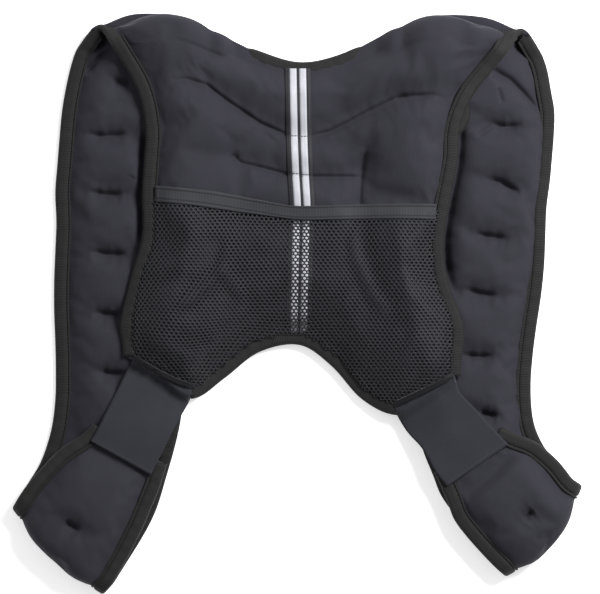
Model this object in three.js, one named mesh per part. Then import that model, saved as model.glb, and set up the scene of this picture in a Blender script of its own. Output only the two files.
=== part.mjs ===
import * as THREE from 'three';

// Weighted vest lying on its chest, back panel up, both front ends folded back on top.
// Lengths are in millimetres, Z is up from the surface and Y points to the shoulders.
const VEST_WIDTH = 497;
const VEST_LENGTH = 508;
const PAD_THICKNESS = 17;
const RIM_THICKNESS = 3.2;
const FLANGE_WIDTH = 11.5;
const PUFF_RUN = 24;
const FOLD_RADIUS = 9.5;
const SEAM_GAP = 0.3;

// Binding tape folded round every cut edge.
const TAPE_THICKNESS = 0.8;
const TAPE_GAP = 0.8;
const TAPE_SHARE = 0.9;

// Heights of the layers above the surface.
const RIM_LIFT = 1.9;
const SEAM_HEIGHT = 17.5;
const WING_BASE = 19.6;
const BACK_SIDE_BASE = 21.2;
const BACK_MIDDLE_BASE = 6.8;
const NECK_HEIGHT = 10.5;
const NECK_RISE = 3;

// Pieces sewn over the back panel.
const LAYER_GAP = 0.35;
const STRIPE_BASE_THICKNESS = 0.5;
const STRIPE_THICKNESS = 0.35;
const POCKET_LIFT = 2.5;
const MESH_THICKNESS = 0.8;
const BAND_THICKNESS = 1.3;

// Elastic side straps.
const STRAP_THICKNESS = 1.8;

// Columns across the back panel where the shoulders end and the neckline begins.
const SHOULDER_SHARE = 0.32;
const NECK_SHARE = 0.345;

// Back panel from the shoulder folds to the bottom arch, one row per curve across it.
// stations: [share across, X share of the width, Y share of the length]
// pad: share of the full padding; perch: share of each side lying on a front panel
// stitch: [from, to, depth] of a stitched channel; after: shares down to the next row
const BACK_ROWS = [
  {
    name: 'top', pad: 0.8, perch: 0.32, after: [],
    stations: [
      [0, -0.341, 0.471], [0.1, -0.295, 0.474], [0.2, -0.228, 0.486], [0.32, -0.129, 0.46],
      [0.41, -0.069, 0.434], [0.5, 0.005, 0.414], [0.59, 0.08, 0.429], [0.68, 0.164, 0.469],
      [0.8, 0.247, 0.484], [0.9, 0.316, 0.469], [1, 0.387, 0.457],
    ],
  },
  {
    name: 'yoke', pad: 0.9, perch: 0.3, after: [0.4, 0.78],
    stations: [
      [0, -0.313, 0.431], [0.2, -0.217, 0.443], [0.32, -0.129, 0.412], [0.5, 0.004, 0.353],
      [0.68, 0.154, 0.408], [0.8, 0.226, 0.431], [1, 0.348, 0.412],
    ],
  },
  {
    name: 'upper stitch', pad: 0.9, perch: 0.28, stitch: [0.08, 0.92, 0.5], after: [0.22, 0.6],
    stations: [
      [0, -0.277, 0.367], [0.1, -0.233, 0.383], [0.2, -0.191, 0.395], [0.32, -0.131, 0.362],
      [0.41, -0.072, 0.322], [0.5, 0.004, 0.296], [0.59, 0.085, 0.32], [0.68, 0.141, 0.346],
      [0.8, 0.193, 0.367], [0.9, 0.242, 0.367], [1, 0.304, 0.357],
    ],
  },
  {
    name: 'shoulder blade', pad: 1, perch: 0.22, after: [0.4, 0.78],
    stations: [
      [0, -0.263, 0.301], [0.2, -0.177, 0.319], [0.32, -0.12, 0.307], [0.5, 0.004, 0.262],
      [0.68, 0.136, 0.284], [0.8, 0.189, 0.296], [1, 0.282, 0.3],
    ],
  },
  {
    name: 'lower stitch', pad: 0.95, perch: 0.18, stitch: [0.3, 0.7, 0.5], after: [0.22, 0.6],
    stations: [
      [0, -0.265, 0.253], [0.2, -0.171, 0.258], [0.32, -0.106, 0.255], [0.5, 0.004, 0.226],
      [0.68, 0.115, 0.224], [0.8, 0.173, 0.231], [1, 0.279, 0.25],
    ],
  },
  {
    name: 'band', pad: 0.9, perch: 0.16, after: [0.5],
    stations: [
      [0, -0.269, 0.191], [0.2, -0.163, 0.18], [0.5, 0.005, 0.158], [0.8, 0.175, 0.16],
      [1, 0.263, 0.167],
    ],
  },
  {
    name: 'waist', pad: 0.95, perch: 0.16, after: [0.5],
    stations: [[0, -0.269, 0.117], [0.5, 0.004, 0.094], [1, 0.254, 0.101]],
  },
  {
    name: 'ribs', pad: 1, perch: 0.17, after: [0.5],
    stations: [[0, -0.29, 0.042], [0.5, 0.004, 0.032], [1, 0.263, 0.034]],
  },
  {
    name: 'hip', pad: 1, perch: 0.18, after: [0.4],
    stations: [[0, -0.307, -0.03], [0.5, 0.004, -0.02], [1, 0.288, -0.035]],
  },
  {
    name: 'bottom', pad: 0, perch: 0.18, after: [],
    stations: [
      [0, -0.302, -0.089], [0.1, -0.242, -0.125], [0.2, -0.187, -0.16], [0.32, -0.127, -0.123],
      [0.41, -0.069, -0.08], [0.5, 0.004, -0.067], [0.59, 0.062, -0.104], [0.68, 0.115, -0.161],
      [0.8, 0.178, -0.188], [0.9, 0.231, -0.16], [1, 0.284, -0.123],
    ],
  },
];

// Columns of the back panel between its two side flanges, as shares across.
const TAPE_FROM = 0.473;
const ARCH_FROM = 0.2;
const HALF_COLUMNS = [
  0.1, 0.15, ARCH_FROM, 0.26, SHOULDER_SHARE, NECK_SHARE, 0.38, 0.42, 0.448, TAPE_FROM,
];
const BACK_COLUMNS = [...HALF_COLUMNS, 0.5, ...HALF_COLUMNS.map((share) => 1 - share).reverse()];

// Columns of a front panel between its two flanges, as shares of the space between them.
const FRONT_COLUMNS = [0, 0.1, 0.24, 0.4, 0.5, 0.6, 0.76, 0.9, 1];

// Front panels from the shoulder fold down to the lower fold and back up to the side strap.
// outer: armhole edge, middle, inner: edge at the closure, each [X share, Y share]
// pad: share of the full padding; tuck: depth of the stitched tuck, as a share of the pad
const LEFT_FRONT_ROWS = [
  { name: 'crest', outer: [-0.363, 0.473], middle: [-0.248, 0.487], inner: [-0.138, 0.461], pad: 0.8 },
  { name: 'yoke top', outer: [-0.376, 0.456], middle: [-0.25, 0.467], inner: [-0.14, 0.441], pad: 0.82 },
  { name: 'corner', outer: [-0.387, 0.438], middle: [-0.252, 0.446], inner: [-0.142, 0.42], pad: 0.9 },
  { name: 'yoke', outer: [-0.396, 0.412], middle: [-0.262, 0.412], inner: [-0.147, 0.391], pad: 0.95 },
  { name: 'pad', outer: [-0.405, 0.374], middle: [-0.276, 0.377], inner: [-0.154, 0.357], pad: 1, tuck: 0.3 },
  { name: 'pad', outer: [-0.412, 0.334], middle: [-0.288, 0.336], inner: [-0.168, 0.322], pad: 1 },
  { name: 'pad', outer: [-0.416, 0.294], middle: [-0.299, 0.296], inner: [-0.178, 0.284], pad: 1, tuck: 0.4 },
  { name: 'pad', outer: [-0.42, 0.244], middle: [-0.306, 0.244], inner: [-0.189, 0.236], pad: 1 },
  { name: 'pad', outer: [-0.424, 0.193], middle: [-0.311, 0.193], inner: [-0.196, 0.187], pad: 1, tuck: 0.4 },
  { name: 'pad', outer: [-0.422, 0.142], middle: [-0.313, 0.142], inner: [-0.2, 0.139], pad: 1 },
  { name: 'pad', outer: [-0.424, 0.091], middle: [-0.314, 0.091], inner: [-0.203, 0.087], pad: 1, tuck: 0.4 },
  { name: 'pad', outer: [-0.426, 0.039], middle: [-0.316, 0.039], inner: [-0.205, 0.037], pad: 1 },
  { name: 'pad', outer: [-0.426, -0.013], middle: [-0.316, -0.013], inner: [-0.207, -0.013], pad: 1, tuck: 0.4 },
  { name: 'pad', outer: [-0.424, -0.065], middle: [-0.316, -0.065], inner: [-0.207, -0.065], pad: 1 },
  { name: 'pad', outer: [-0.423, -0.115], middle: [-0.315, -0.115], inner: [-0.207, -0.115], pad: 1, tuck: 0.4 },
  { name: 'pad', outer: [-0.424, -0.165], middle: [-0.316, -0.168], inner: [-0.205, -0.165], pad: 1 },
  { name: 'hip', outer: [-0.431, -0.217], middle: [-0.325, -0.231], inner: [-0.212, -0.217], pad: 1 },
  { name: 'turn', outer: [-0.449, -0.272], middle: [-0.343, -0.303], inner: [-0.233, -0.294], pad: 0.95 },
  { name: 'turn', outer: [-0.47, -0.307], middle: [-0.369, -0.357], inner: [-0.26, -0.372], pad: 0.9 },
  { name: 'fold in', outer: [-0.486, -0.332], middle: [-0.41, -0.415], inner: [-0.327, -0.481], pad: 0.8 },
  { name: 'fold out', outer: [-0.497, -0.35], middle: [-0.424, -0.429], inner: [-0.341, -0.495], pad: 0.75 },
  { name: 'wing root', outer: [-0.486, -0.332], middle: [-0.41, -0.415], inner: [-0.327, -0.479], pad: 0.8 },
  { name: 'wing', outer: [-0.468, -0.307], middle: [-0.389, -0.386], inner: [-0.299, -0.431], pad: 0.92 },
  { name: 'wing', outer: [-0.447, -0.284], middle: [-0.369, -0.351], inner: [-0.274, -0.383], pad: 0.95, tuck: 0.35 },
  { name: 'wing', outer: [-0.422, -0.258], middle: [-0.346, -0.31], inner: [-0.256, -0.341], pad: 0.85 },
  { name: 'wing', outer: [-0.398, -0.24], middle: [-0.33, -0.282], inner: [-0.245, -0.316], pad: 0.5 },
  { name: 'hem', outer: [-0.375, -0.226], middle: [-0.314, -0.266], inner: [-0.24, -0.3], pad: 0 },
  { name: 'wing end', outer: [-0.355, -0.206], middle: [-0.295, -0.238], inner: [-0.232, -0.274], pad: 0 },
];
const RIGHT_FRONT_ROWS = [
  { name: 'crest', outer: [0.409, 0.464], middle: [0.283, 0.485], inner: [0.173, 0.47], pad: 0.8 },
  { name: 'yoke top', outer: [0.42, 0.448], middle: [0.283, 0.465], inner: [0.174, 0.45], pad: 0.82 },
  { name: 'corner', outer: [0.429, 0.43], middle: [0.283, 0.444], inner: [0.176, 0.426], pad: 0.9 },
  { name: 'yoke', outer: [0.438, 0.405], middle: [0.292, 0.408], inner: [0.18, 0.393], pad: 0.95 },
  { name: 'pad', outer: [0.445, 0.367], middle: [0.317, 0.367], inner: [0.186, 0.357], pad: 1 },
  { name: 'pad', outer: [0.451, 0.332], middle: [0.335, 0.337], inner: [0.194, 0.326], pad: 1 },
  { name: 'pad', outer: [0.45, 0.294], middle: [0.348, 0.307], inner: [0.203, 0.298], pad: 1, tuck: 0.4 },
  { name: 'pad', outer: [0.447, 0.256], middle: [0.355, 0.263], inner: [0.21, 0.256], pad: 1 },
  { name: 'pad', outer: [0.443, 0.213], middle: [0.354, 0.217], inner: [0.214, 0.212], pad: 1, tuck: 0.4 },
  { name: 'pad', outer: [0.437, 0.168], middle: [0.35, 0.17], inner: [0.216, 0.163], pad: 1 },
  { name: 'pad', outer: [0.435, 0.12], middle: [0.346, 0.122], inner: [0.216, 0.115], pad: 1, tuck: 0.4 },
  { name: 'pad', outer: [0.433, 0.07], middle: [0.339, 0.07], inner: [0.214, 0.065], pad: 1 },
  { name: 'pad', outer: [0.428, 0.02], middle: [0.329, 0.02], inner: [0.212, 0.015], pad: 1, tuck: 0.4 },
  { name: 'pad', outer: [0.42, -0.032], middle: [0.323, -0.032], inner: [0.208, -0.035], pad: 1 },
  { name: 'pad', outer: [0.413, -0.084], middle: [0.318, -0.084], inner: [0.205, -0.087], pad: 1, tuck: 0.4 },
  { name: 'pad', outer: [0.409, -0.136], middle: [0.318, -0.137], inner: [0.205, -0.142], pad: 1 },
  { name: 'pad', outer: [0.411, -0.186], middle: [0.322, -0.187], inner: [0.21, -0.193], pad: 1, tuck: 0.3 },
  { name: 'hip', outer: [0.419, -0.22], middle: [0.33, -0.231], inner: [0.223, -0.246], pad: 1 },
  { name: 'turn', outer: [0.438, -0.255], middle: [0.348, -0.286], inner: [0.242, -0.293], pad: 0.95 },
  { name: 'turn', outer: [0.463, -0.279], middle: [0.376, -0.331], inner: [0.263, -0.339], pad: 0.9 },
  { name: 'fold in', outer: [0.481, -0.305], middle: [0.426, -0.391], inner: [0.355, -0.45], pad: 0.8 },
  { name: 'fold out', outer: [0.496, -0.312], middle: [0.44, -0.403], inner: [0.366, -0.464], pad: 0.75 },
  { name: 'wing root', outer: [0.481, -0.303], middle: [0.426, -0.391], inner: [0.353, -0.453], pad: 0.8 },
  { name: 'wing', outer: [0.459, -0.275], middle: [0.399, -0.367], inner: [0.329, -0.429], pad: 0.92 },
  { name: 'wing', outer: [0.44, -0.257], middle: [0.38, -0.338], inner: [0.299, -0.396], pad: 0.95, tuck: 0.35 },
  { name: 'wing', outer: [0.42, -0.241], middle: [0.35, -0.307], inner: [0.277, -0.367], pad: 0.85 },
  { name: 'wing', outer: [0.404, -0.233], middle: [0.341, -0.301], inner: [0.271, -0.351], pad: 0.5 },
  { name: 'hem', outer: [0.386, -0.227], middle: [0.327, -0.287], inner: [0.263, -0.331], pad: 0 },
  { name: 'wing end', outer: [0.355, -0.213], middle: [0.292, -0.25], inner: [0.243, -0.287], pad: 0 },
];

// Side straps from below the back panel's corner to the end of the wing.
// outer, inner: the two edges, each [X share, Y share]
// heights: middle of the webbing at the outer edge, halfway and at the inner edge
const LEFT_STRAP_ROWS = [
  { outer: [-0.278, -0.081], inner: [-0.18, -0.146], heights: [18.1, 17, 9.6] },
  { outer: [-0.292, -0.103], inner: [-0.192, -0.168], heights: [18.1, 17, 9.6] },
  { outer: [-0.308, -0.132], inner: [-0.199, -0.183], heights: [20, 18.6, 13] },
  { outer: [-0.33, -0.175], inner: [-0.216, -0.214], heights: [24, 23.4, 21] },
  { outer: [-0.349, -0.212], inner: [-0.235, -0.251], heights: [25.7, 25.7, 25.7] },
  { outer: [-0.362, -0.234], inner: [-0.256, -0.293], heights: [25.7, 25.7, 25.7] },
];
const RIGHT_STRAP_ROWS = [
  { outer: [0.26, -0.101], inner: [0.17, -0.169], heights: [18.1, 17, 9.6] },
  { outer: [0.274, -0.124], inner: [0.18, -0.196], heights: [18.1, 17, 9.6] },
  { outer: [0.285, -0.15], inner: [0.193, -0.219], heights: [20, 18.6, 13] },
  { outer: [0.313, -0.18], inner: [0.22, -0.249], heights: [24, 23.4, 21] },
  { outer: [0.339, -0.208], inner: [0.241, -0.286], heights: [25.7, 25.7, 25.7] },
  { outer: [0.37, -0.24], inner: [0.262, -0.312], heights: [25.7, 25.7, 25.7] },
];

const COLOURS = {
  shell: { color: '#3d3d43', roughness: 0.9 },
  front: { color: '#3a3a3f', roughness: 0.9 },
  binding: { color: '#29292b', roughness: 0.75 },
  mesh: { color: '#303035', roughness: 0.95 },
  band: { color: '#444449', roughness: 0.8 },
  stripeBase: { color: '#2e2e32', roughness: 0.8 },
  stripe: { color: '#d8d8e0', roughness: 0.35 },
  webbing: { color: '#34343a', roughness: 0.85 },
};

function place(share, height) {
  return new THREE.Vector3(share[0] * VEST_WIDTH, share[1] * VEST_LENGTH, height);
}

function clamp01(value) {
  return Math.min(1, Math.max(0, value));
}

function smooth(value) {
  const t = clamp01(value);
  return t * t * (3 - 2 * t);
}

// Padding rises from a flange like a quarter wave and then stays full.
function puff(distance) {
  return Math.pow(Math.sin((Math.PI / 2) * clamp01(distance / PUFF_RUN)), 0.8);
}

// Smooth curve through the stations of one row of the back panel.
function rowCurve(stations) {
  const knots = stations.map((station) => station[0]);
  const points = stations.map((station) => place([station[1], station[2]], 0));
  const slopes = points.map((_, k) => {
    const before = Math.max(0, k - 1);
    const behind = Math.min(points.length - 1, k + 1);
    return points[behind].clone().sub(points[before]).divideScalar(knots[behind] - knots[before]);
  });
  return (share) => {
    let k = 0;
    while (k < knots.length - 2 && share > knots[k + 1]) k += 1;
    const span = knots[k + 1] - knots[k];
    const t = (share - knots[k]) / span;
    const t2 = t * t;
    const t3 = t2 * t;
    return new THREE.Vector3()
      .addScaledVector(points[k], 2 * t3 - 3 * t2 + 1)
      .addScaledVector(slopes[k], span * (t3 - 2 * t2 + t))
      .addScaledVector(points[k + 1], 3 * t2 - 2 * t3)
      .addScaledVector(slopes[k + 1], span * (t3 - t2));
  };
}

// Curve of a front panel row through its outer edge, middle and inner edge.
function arcAcross(row) {
  const outer = place(row.outer, 0);
  const middle = place(row.middle, 0);
  const inner = place(row.inner, 0);
  return (share) => new THREE.Vector3()
    .addScaledVector(outer, 2 * (share - 0.5) * (share - 1))
    .addScaledVector(middle, 4 * share * (1 - share))
    .addScaledVector(inner, 2 * share * (share - 0.5));
}

// Directions across the sheet at every point of a grid of middle points.
function gridNormals(points, flipped) {
  const last = points.length - 1;
  const end = points[0].length - 1;
  return points.map((row, i) => row.map((_, j) => {
    const along = points[Math.min(last, i + 1)][j].clone().sub(points[Math.max(0, i - 1)][j]);
    const across = points[i][Math.min(end, j + 1)].clone().sub(points[i][Math.max(0, j - 1)]);
    const normal = across.cross(along).normalize();
    return flipped ? normal.negate() : normal;
  }));
}

// Both flange columns keep one direction, so a binding leg stays parallel to the flange.
function levelFlanges(normals) {
  for (const row of normals) {
    const end = row.length - 1;
    for (const [edge, inside] of [[0, 1], [end, end - 1]]) {
      const shared = row[edge].clone().add(row[inside]).normalize();
      row[edge] = shared;
      row[inside] = shared.clone();
    }
  }
}

// Straight up, or straight down where the sheet lies face down.
function upright(faceDown) {
  return new THREE.Vector3(0, 0, faceDown ? -1 : 1);
}

// Turns a direction level, for the cut faces that meet at the shoulder seam.
function levelled(normal) {
  return new THREE.Vector3(normal.x, normal.y, 0).normalize();
}

function meshFrom(name, finish, positions, faces) {
  const geometry = new THREE.BufferGeometry();
  geometry.setAttribute('position', new THREE.Float32BufferAttribute(positions, 3));
  geometry.setIndex(faces);
  geometry.computeVertexNormals();
  const material = new THREE.MeshStandardMaterial({ ...finish, metalness: 0 });
  const mesh = new THREE.Mesh(geometry, material);
  mesh.name = name;
  return mesh;
}

// Closed solid between two grids of points; openCells leaves holes right through it.
function slab(name, finish, upper, lower, openCells = () => false) {
  const rows = upper.length;
  const columns = upper[0].length;
  const positions = [];
  for (const grid of [upper, lower]) {
    for (const row of grid) {
      for (const point of row) positions.push(point.x, point.y, point.z);
    }
  }
  const top = (i, j) => i * columns + j;
  const under = (i, j) => rows * columns + i * columns + j;
  const solid = (i, j) => i >= 0 && j >= 0 && i < rows - 1 && j < columns - 1 && !openCells(i, j);
  const faces = [];
  const quad = (a, b, c, d) => faces.push(a, b, c, a, c, d);
  for (let i = 0; i < rows - 1; i += 1) {
    for (let j = 0; j < columns - 1; j += 1) {
      if (!solid(i, j)) continue;
      quad(top(i, j), top(i + 1, j), top(i + 1, j + 1), top(i, j + 1));
      quad(under(i, j), under(i, j + 1), under(i + 1, j + 1), under(i + 1, j));
      if (!solid(i - 1, j)) quad(top(i, j), top(i, j + 1), under(i, j + 1), under(i, j));
      if (!solid(i + 1, j)) {
        quad(top(i + 1, j + 1), top(i + 1, j), under(i + 1, j), under(i + 1, j + 1));
      }
      if (!solid(i, j - 1)) quad(top(i + 1, j), top(i, j), under(i, j), under(i + 1, j));
      if (!solid(i, j + 1)) {
        quad(top(i, j + 1), top(i + 1, j + 1), under(i + 1, j + 1), under(i, j + 1));
      }
    }
  }
  return meshFrom(name, finish, positions, faces);
}

// Gives each point half its thickness on either side of the middle.
function thicken(panel) {
  const offset = (side) => panel.points.map((row, i) => row.map((point, j) => (
    point.clone().addScaledVector(panel.normals[i][j], side * panel.thickness[i][j] / 2)
  )));
  panel.upper = offset(1);
  panel.lower = offset(-1);
  return panel;
}

// Unit direction into the sheet, square to both its edge and its normal.
function squareTo(inward, along, normal) {
  const side = normal.clone().cross(along).normalize();
  return side.dot(inward) < 0 ? side.negate() : side;
}

// Tape folded round an edge: a U section swept along the edge points. Its faces are split
// along the same diagonals as the sheet below, which crossed says run the other way.
function binding(name, edges, crossed = false) {
  const half = RIM_THICKNESS / 2;
  const section = [
    [1, half + TAPE_GAP], [0, half + TAPE_GAP], [0, -half - TAPE_GAP], [1, -half - TAPE_GAP],
    [1, -half - TAPE_GAP - TAPE_THICKNESS], [0, -half - TAPE_GAP - TAPE_THICKNESS],
    [0, half + TAPE_GAP + TAPE_THICKNESS], [1, half + TAPE_GAP + TAPE_THICKNESS],
  ];
  const outward = [0, TAPE_GAP, TAPE_GAP, 0, 0, TAPE_GAP + TAPE_THICKNESS, TAPE_GAP + TAPE_THICKNESS, 0];
  const positions = [];
  edges.forEach((edge, s) => {
    const inward = edge.inside.clone().sub(edge.point);
    const before = edges[Math.max(0, s - 1)].point;
    const after = edges[Math.min(edges.length - 1, s + 1)].point;
    const unit = squareTo(inward, after.clone().sub(before), edge.normal);
    section.forEach(([reach, rise], k) => {
      const point = edge.point.clone()
        .addScaledVector(inward, reach * TAPE_SHARE)
        .addScaledVector(unit, -outward[k])
        .addScaledVector(edge.normal, rise);
      positions.push(point.x, point.y, point.z);
    });
  });
  const count = section.length;
  const faces = [];
  for (let s = 0; s < edges.length - 1; s += 1) {
    for (let k = 0; k < count; k += 1) {
      const a = s * count + k;
      const b = s * count + ((k + 1) % count);
      const inwardFirst = section[k][0] > section[(k + 1) % count][0];
      if (inwardFirst === crossed) faces.push(a, b, b + count, a, b + count, a + count);
      else faces.push(a, b, a + count, b, b + count, a + count);
    }
  }
  const caps = [[0, 1, 6], [0, 6, 7], [1, 2, 5], [1, 5, 6], [2, 3, 4], [2, 4, 5]];
  const end = (edges.length - 1) * count;
  for (const [a, b, c] of caps) {
    faces.push(a, c, b);
    faces.push(end + a, end + b, end + c);
  }
  return outwardFaces(meshFrom(name, COLOURS.binding, positions, faces));
}

// Turns every face over when the solid's volume comes out negative.
function outwardFaces(mesh) {
  const spots = mesh.geometry.getAttribute('position');
  const index = mesh.geometry.getIndex();
  const [a, b, c] = [new THREE.Vector3(), new THREE.Vector3(), new THREE.Vector3()];
  let volume = 0;
  for (let f = 0; f < index.count; f += 3) {
    a.fromBufferAttribute(spots, index.getX(f));
    b.fromBufferAttribute(spots, index.getX(f + 1));
    c.fromBufferAttribute(spots, index.getX(f + 2));
    volume += a.dot(b.cross(c));
  }
  if (volume < 0) {
    const faces = Array.from(index.array);
    for (let f = 0; f < faces.length; f += 3) [faces[f], faces[f + 1]] = [faces[f + 1], faces[f]];
    mesh.geometry.setIndex(faces);
    mesh.geometry.computeVertexNormals();
  }
  return mesh;
}

// Edge points of a panel along one side column, for its binding.
function sideEdges(panel, side) {
  const end = panel.points[0].length - 1;
  const edge = side === 'first' ? 0 : end;
  const inside = side === 'first' ? 1 : end - 1;
  const list = [];
  panel.points.forEach((row, i) => {
    if (panel.between?.[i]) return;
    list.push({ point: row[edge], inside: row[inside], normal: panel.normals[i][edge] });
  });
  return list;
}

// Front panel: lower layer, fold and wing as one sheet.
function frontPanel(rows, mirrored) {
  const crestAt = 0;
  const yokeAt = 1;
  const foldAt = rows.findIndex((row) => row.name === 'fold in');
  const steps = [];
  const arc = (from, apex, angles) => {
    for (const angle of angles) steps.push({ from, apex, angle: (angle * Math.PI) / 180 });
  };
  arc(yokeAt, crestAt, [90, 66, 42, 18]);
  for (let k = yokeAt; k < foldAt; k += 1) {
    steps.push({ from: k, mix: 0 });
    if (rows[k].name === 'pad' || rows[k].name === 'hip') steps.push({ from: k, mix: 0.5 });
  }
  arc(foldAt, foldAt + 1, [0, 30, 60, 90]);
  arc(foldAt + 2, foldAt + 1, [120, 150, 180]);
  for (let k = foldAt + 3; k < rows.length; k += 1) steps.push({ from: k, mix: 0 });

  const curves = rows.map(arcAcross);
  const at = (step, share) => {
    const base = curves[step.from](share);
    if (step.angle !== undefined) return base.lerp(curves[step.apex](share), Math.sin(step.angle));
    return step.mix ? base.lerp(curves[step.from + 1](share), step.mix) : base;
  };
  const value = (step, key) => {
    const first = rows[step.from][key] ?? 0;
    if (step.angle !== undefined) {
      return first + ((rows[step.apex][key] ?? 0) - first) * Math.sin(step.angle);
    }
    return first + ((rows[step.from + 1]?.[key] ?? first) - first) * step.mix;
  };

  const points = [];
  const thickness = [];
  steps.forEach((step, i) => {
    const near = steps[Math.max(0, i - 1)];
    const next = steps[Math.min(steps.length - 1, i + 1)];
    const width = at(step, 0).distanceTo(at(step, 1));
    const across = at(step, 1).sub(at(step, 0)).normalize();
    const flange = (side) => {
      const edge = at(next, side).sub(at(near, side)).normalize();
      return FLANGE_WIDTH / width / Math.max(0.85, across.clone().cross(edge).length());
    };
    const from = flange(0);
    const to = 1 - flange(1);
    const shares = [0, ...FRONT_COLUMNS.map((c) => from + (to - from) * c), 1];
    const row = [];
    const depths = [];
    for (const share of shares) {
      const inset = Math.min(share - from, to - share) * width;
      const full = puff(inset);
      const middle = (share - from) / (to - from) - 0.5;
      const dip = value(step, 'tuck') * Math.exp(-Math.pow(middle / 0.24, 2)) * (step.mix ? 0.5 : 1);
      const pad = Math.max(RIM_THICKNESS, PAD_THICKNESS * value(step, 'pad'));
      const depth = RIM_THICKNESS + (pad * (1 - dip) - RIM_THICKNESS) * full;
      const low = depth / 2 + RIM_LIFT * (1 - full);
      const high = WING_BASE + depth / 2;
      let height = step.from > foldAt ? high : low;
      if (step.angle !== undefined && step.from === yokeAt) {
        const seam = SEAM_HEIGHT - SEAM_GAP / 2;
        height = seam + (low - seam) * Math.cos(step.angle);
      } else if (step.angle !== undefined) {
        height = (low + high) / 2 + ((low - high) / 2) * Math.cos(step.angle);
      }
      const point = at(step, share);
      point.z = height;
      row.push(point);
      depths.push(depth);
    }
    points.push(row);
    thickness.push(depths);
  });
  const normals = gridNormals(points, !mirrored);
  steps.forEach((step, i) => {
    if (step.angle === undefined) normals[i] = normals[i].map(() => upright(step.from > foldAt));
  });
  normals[0] = normals[0].map(levelled);
  levelFlanges(normals);
  normals[0] = normals[0].map(levelled);
  const between = steps.map((step) => step.mix > 0);
  return thicken({ points, normals, thickness, between });
}

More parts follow.
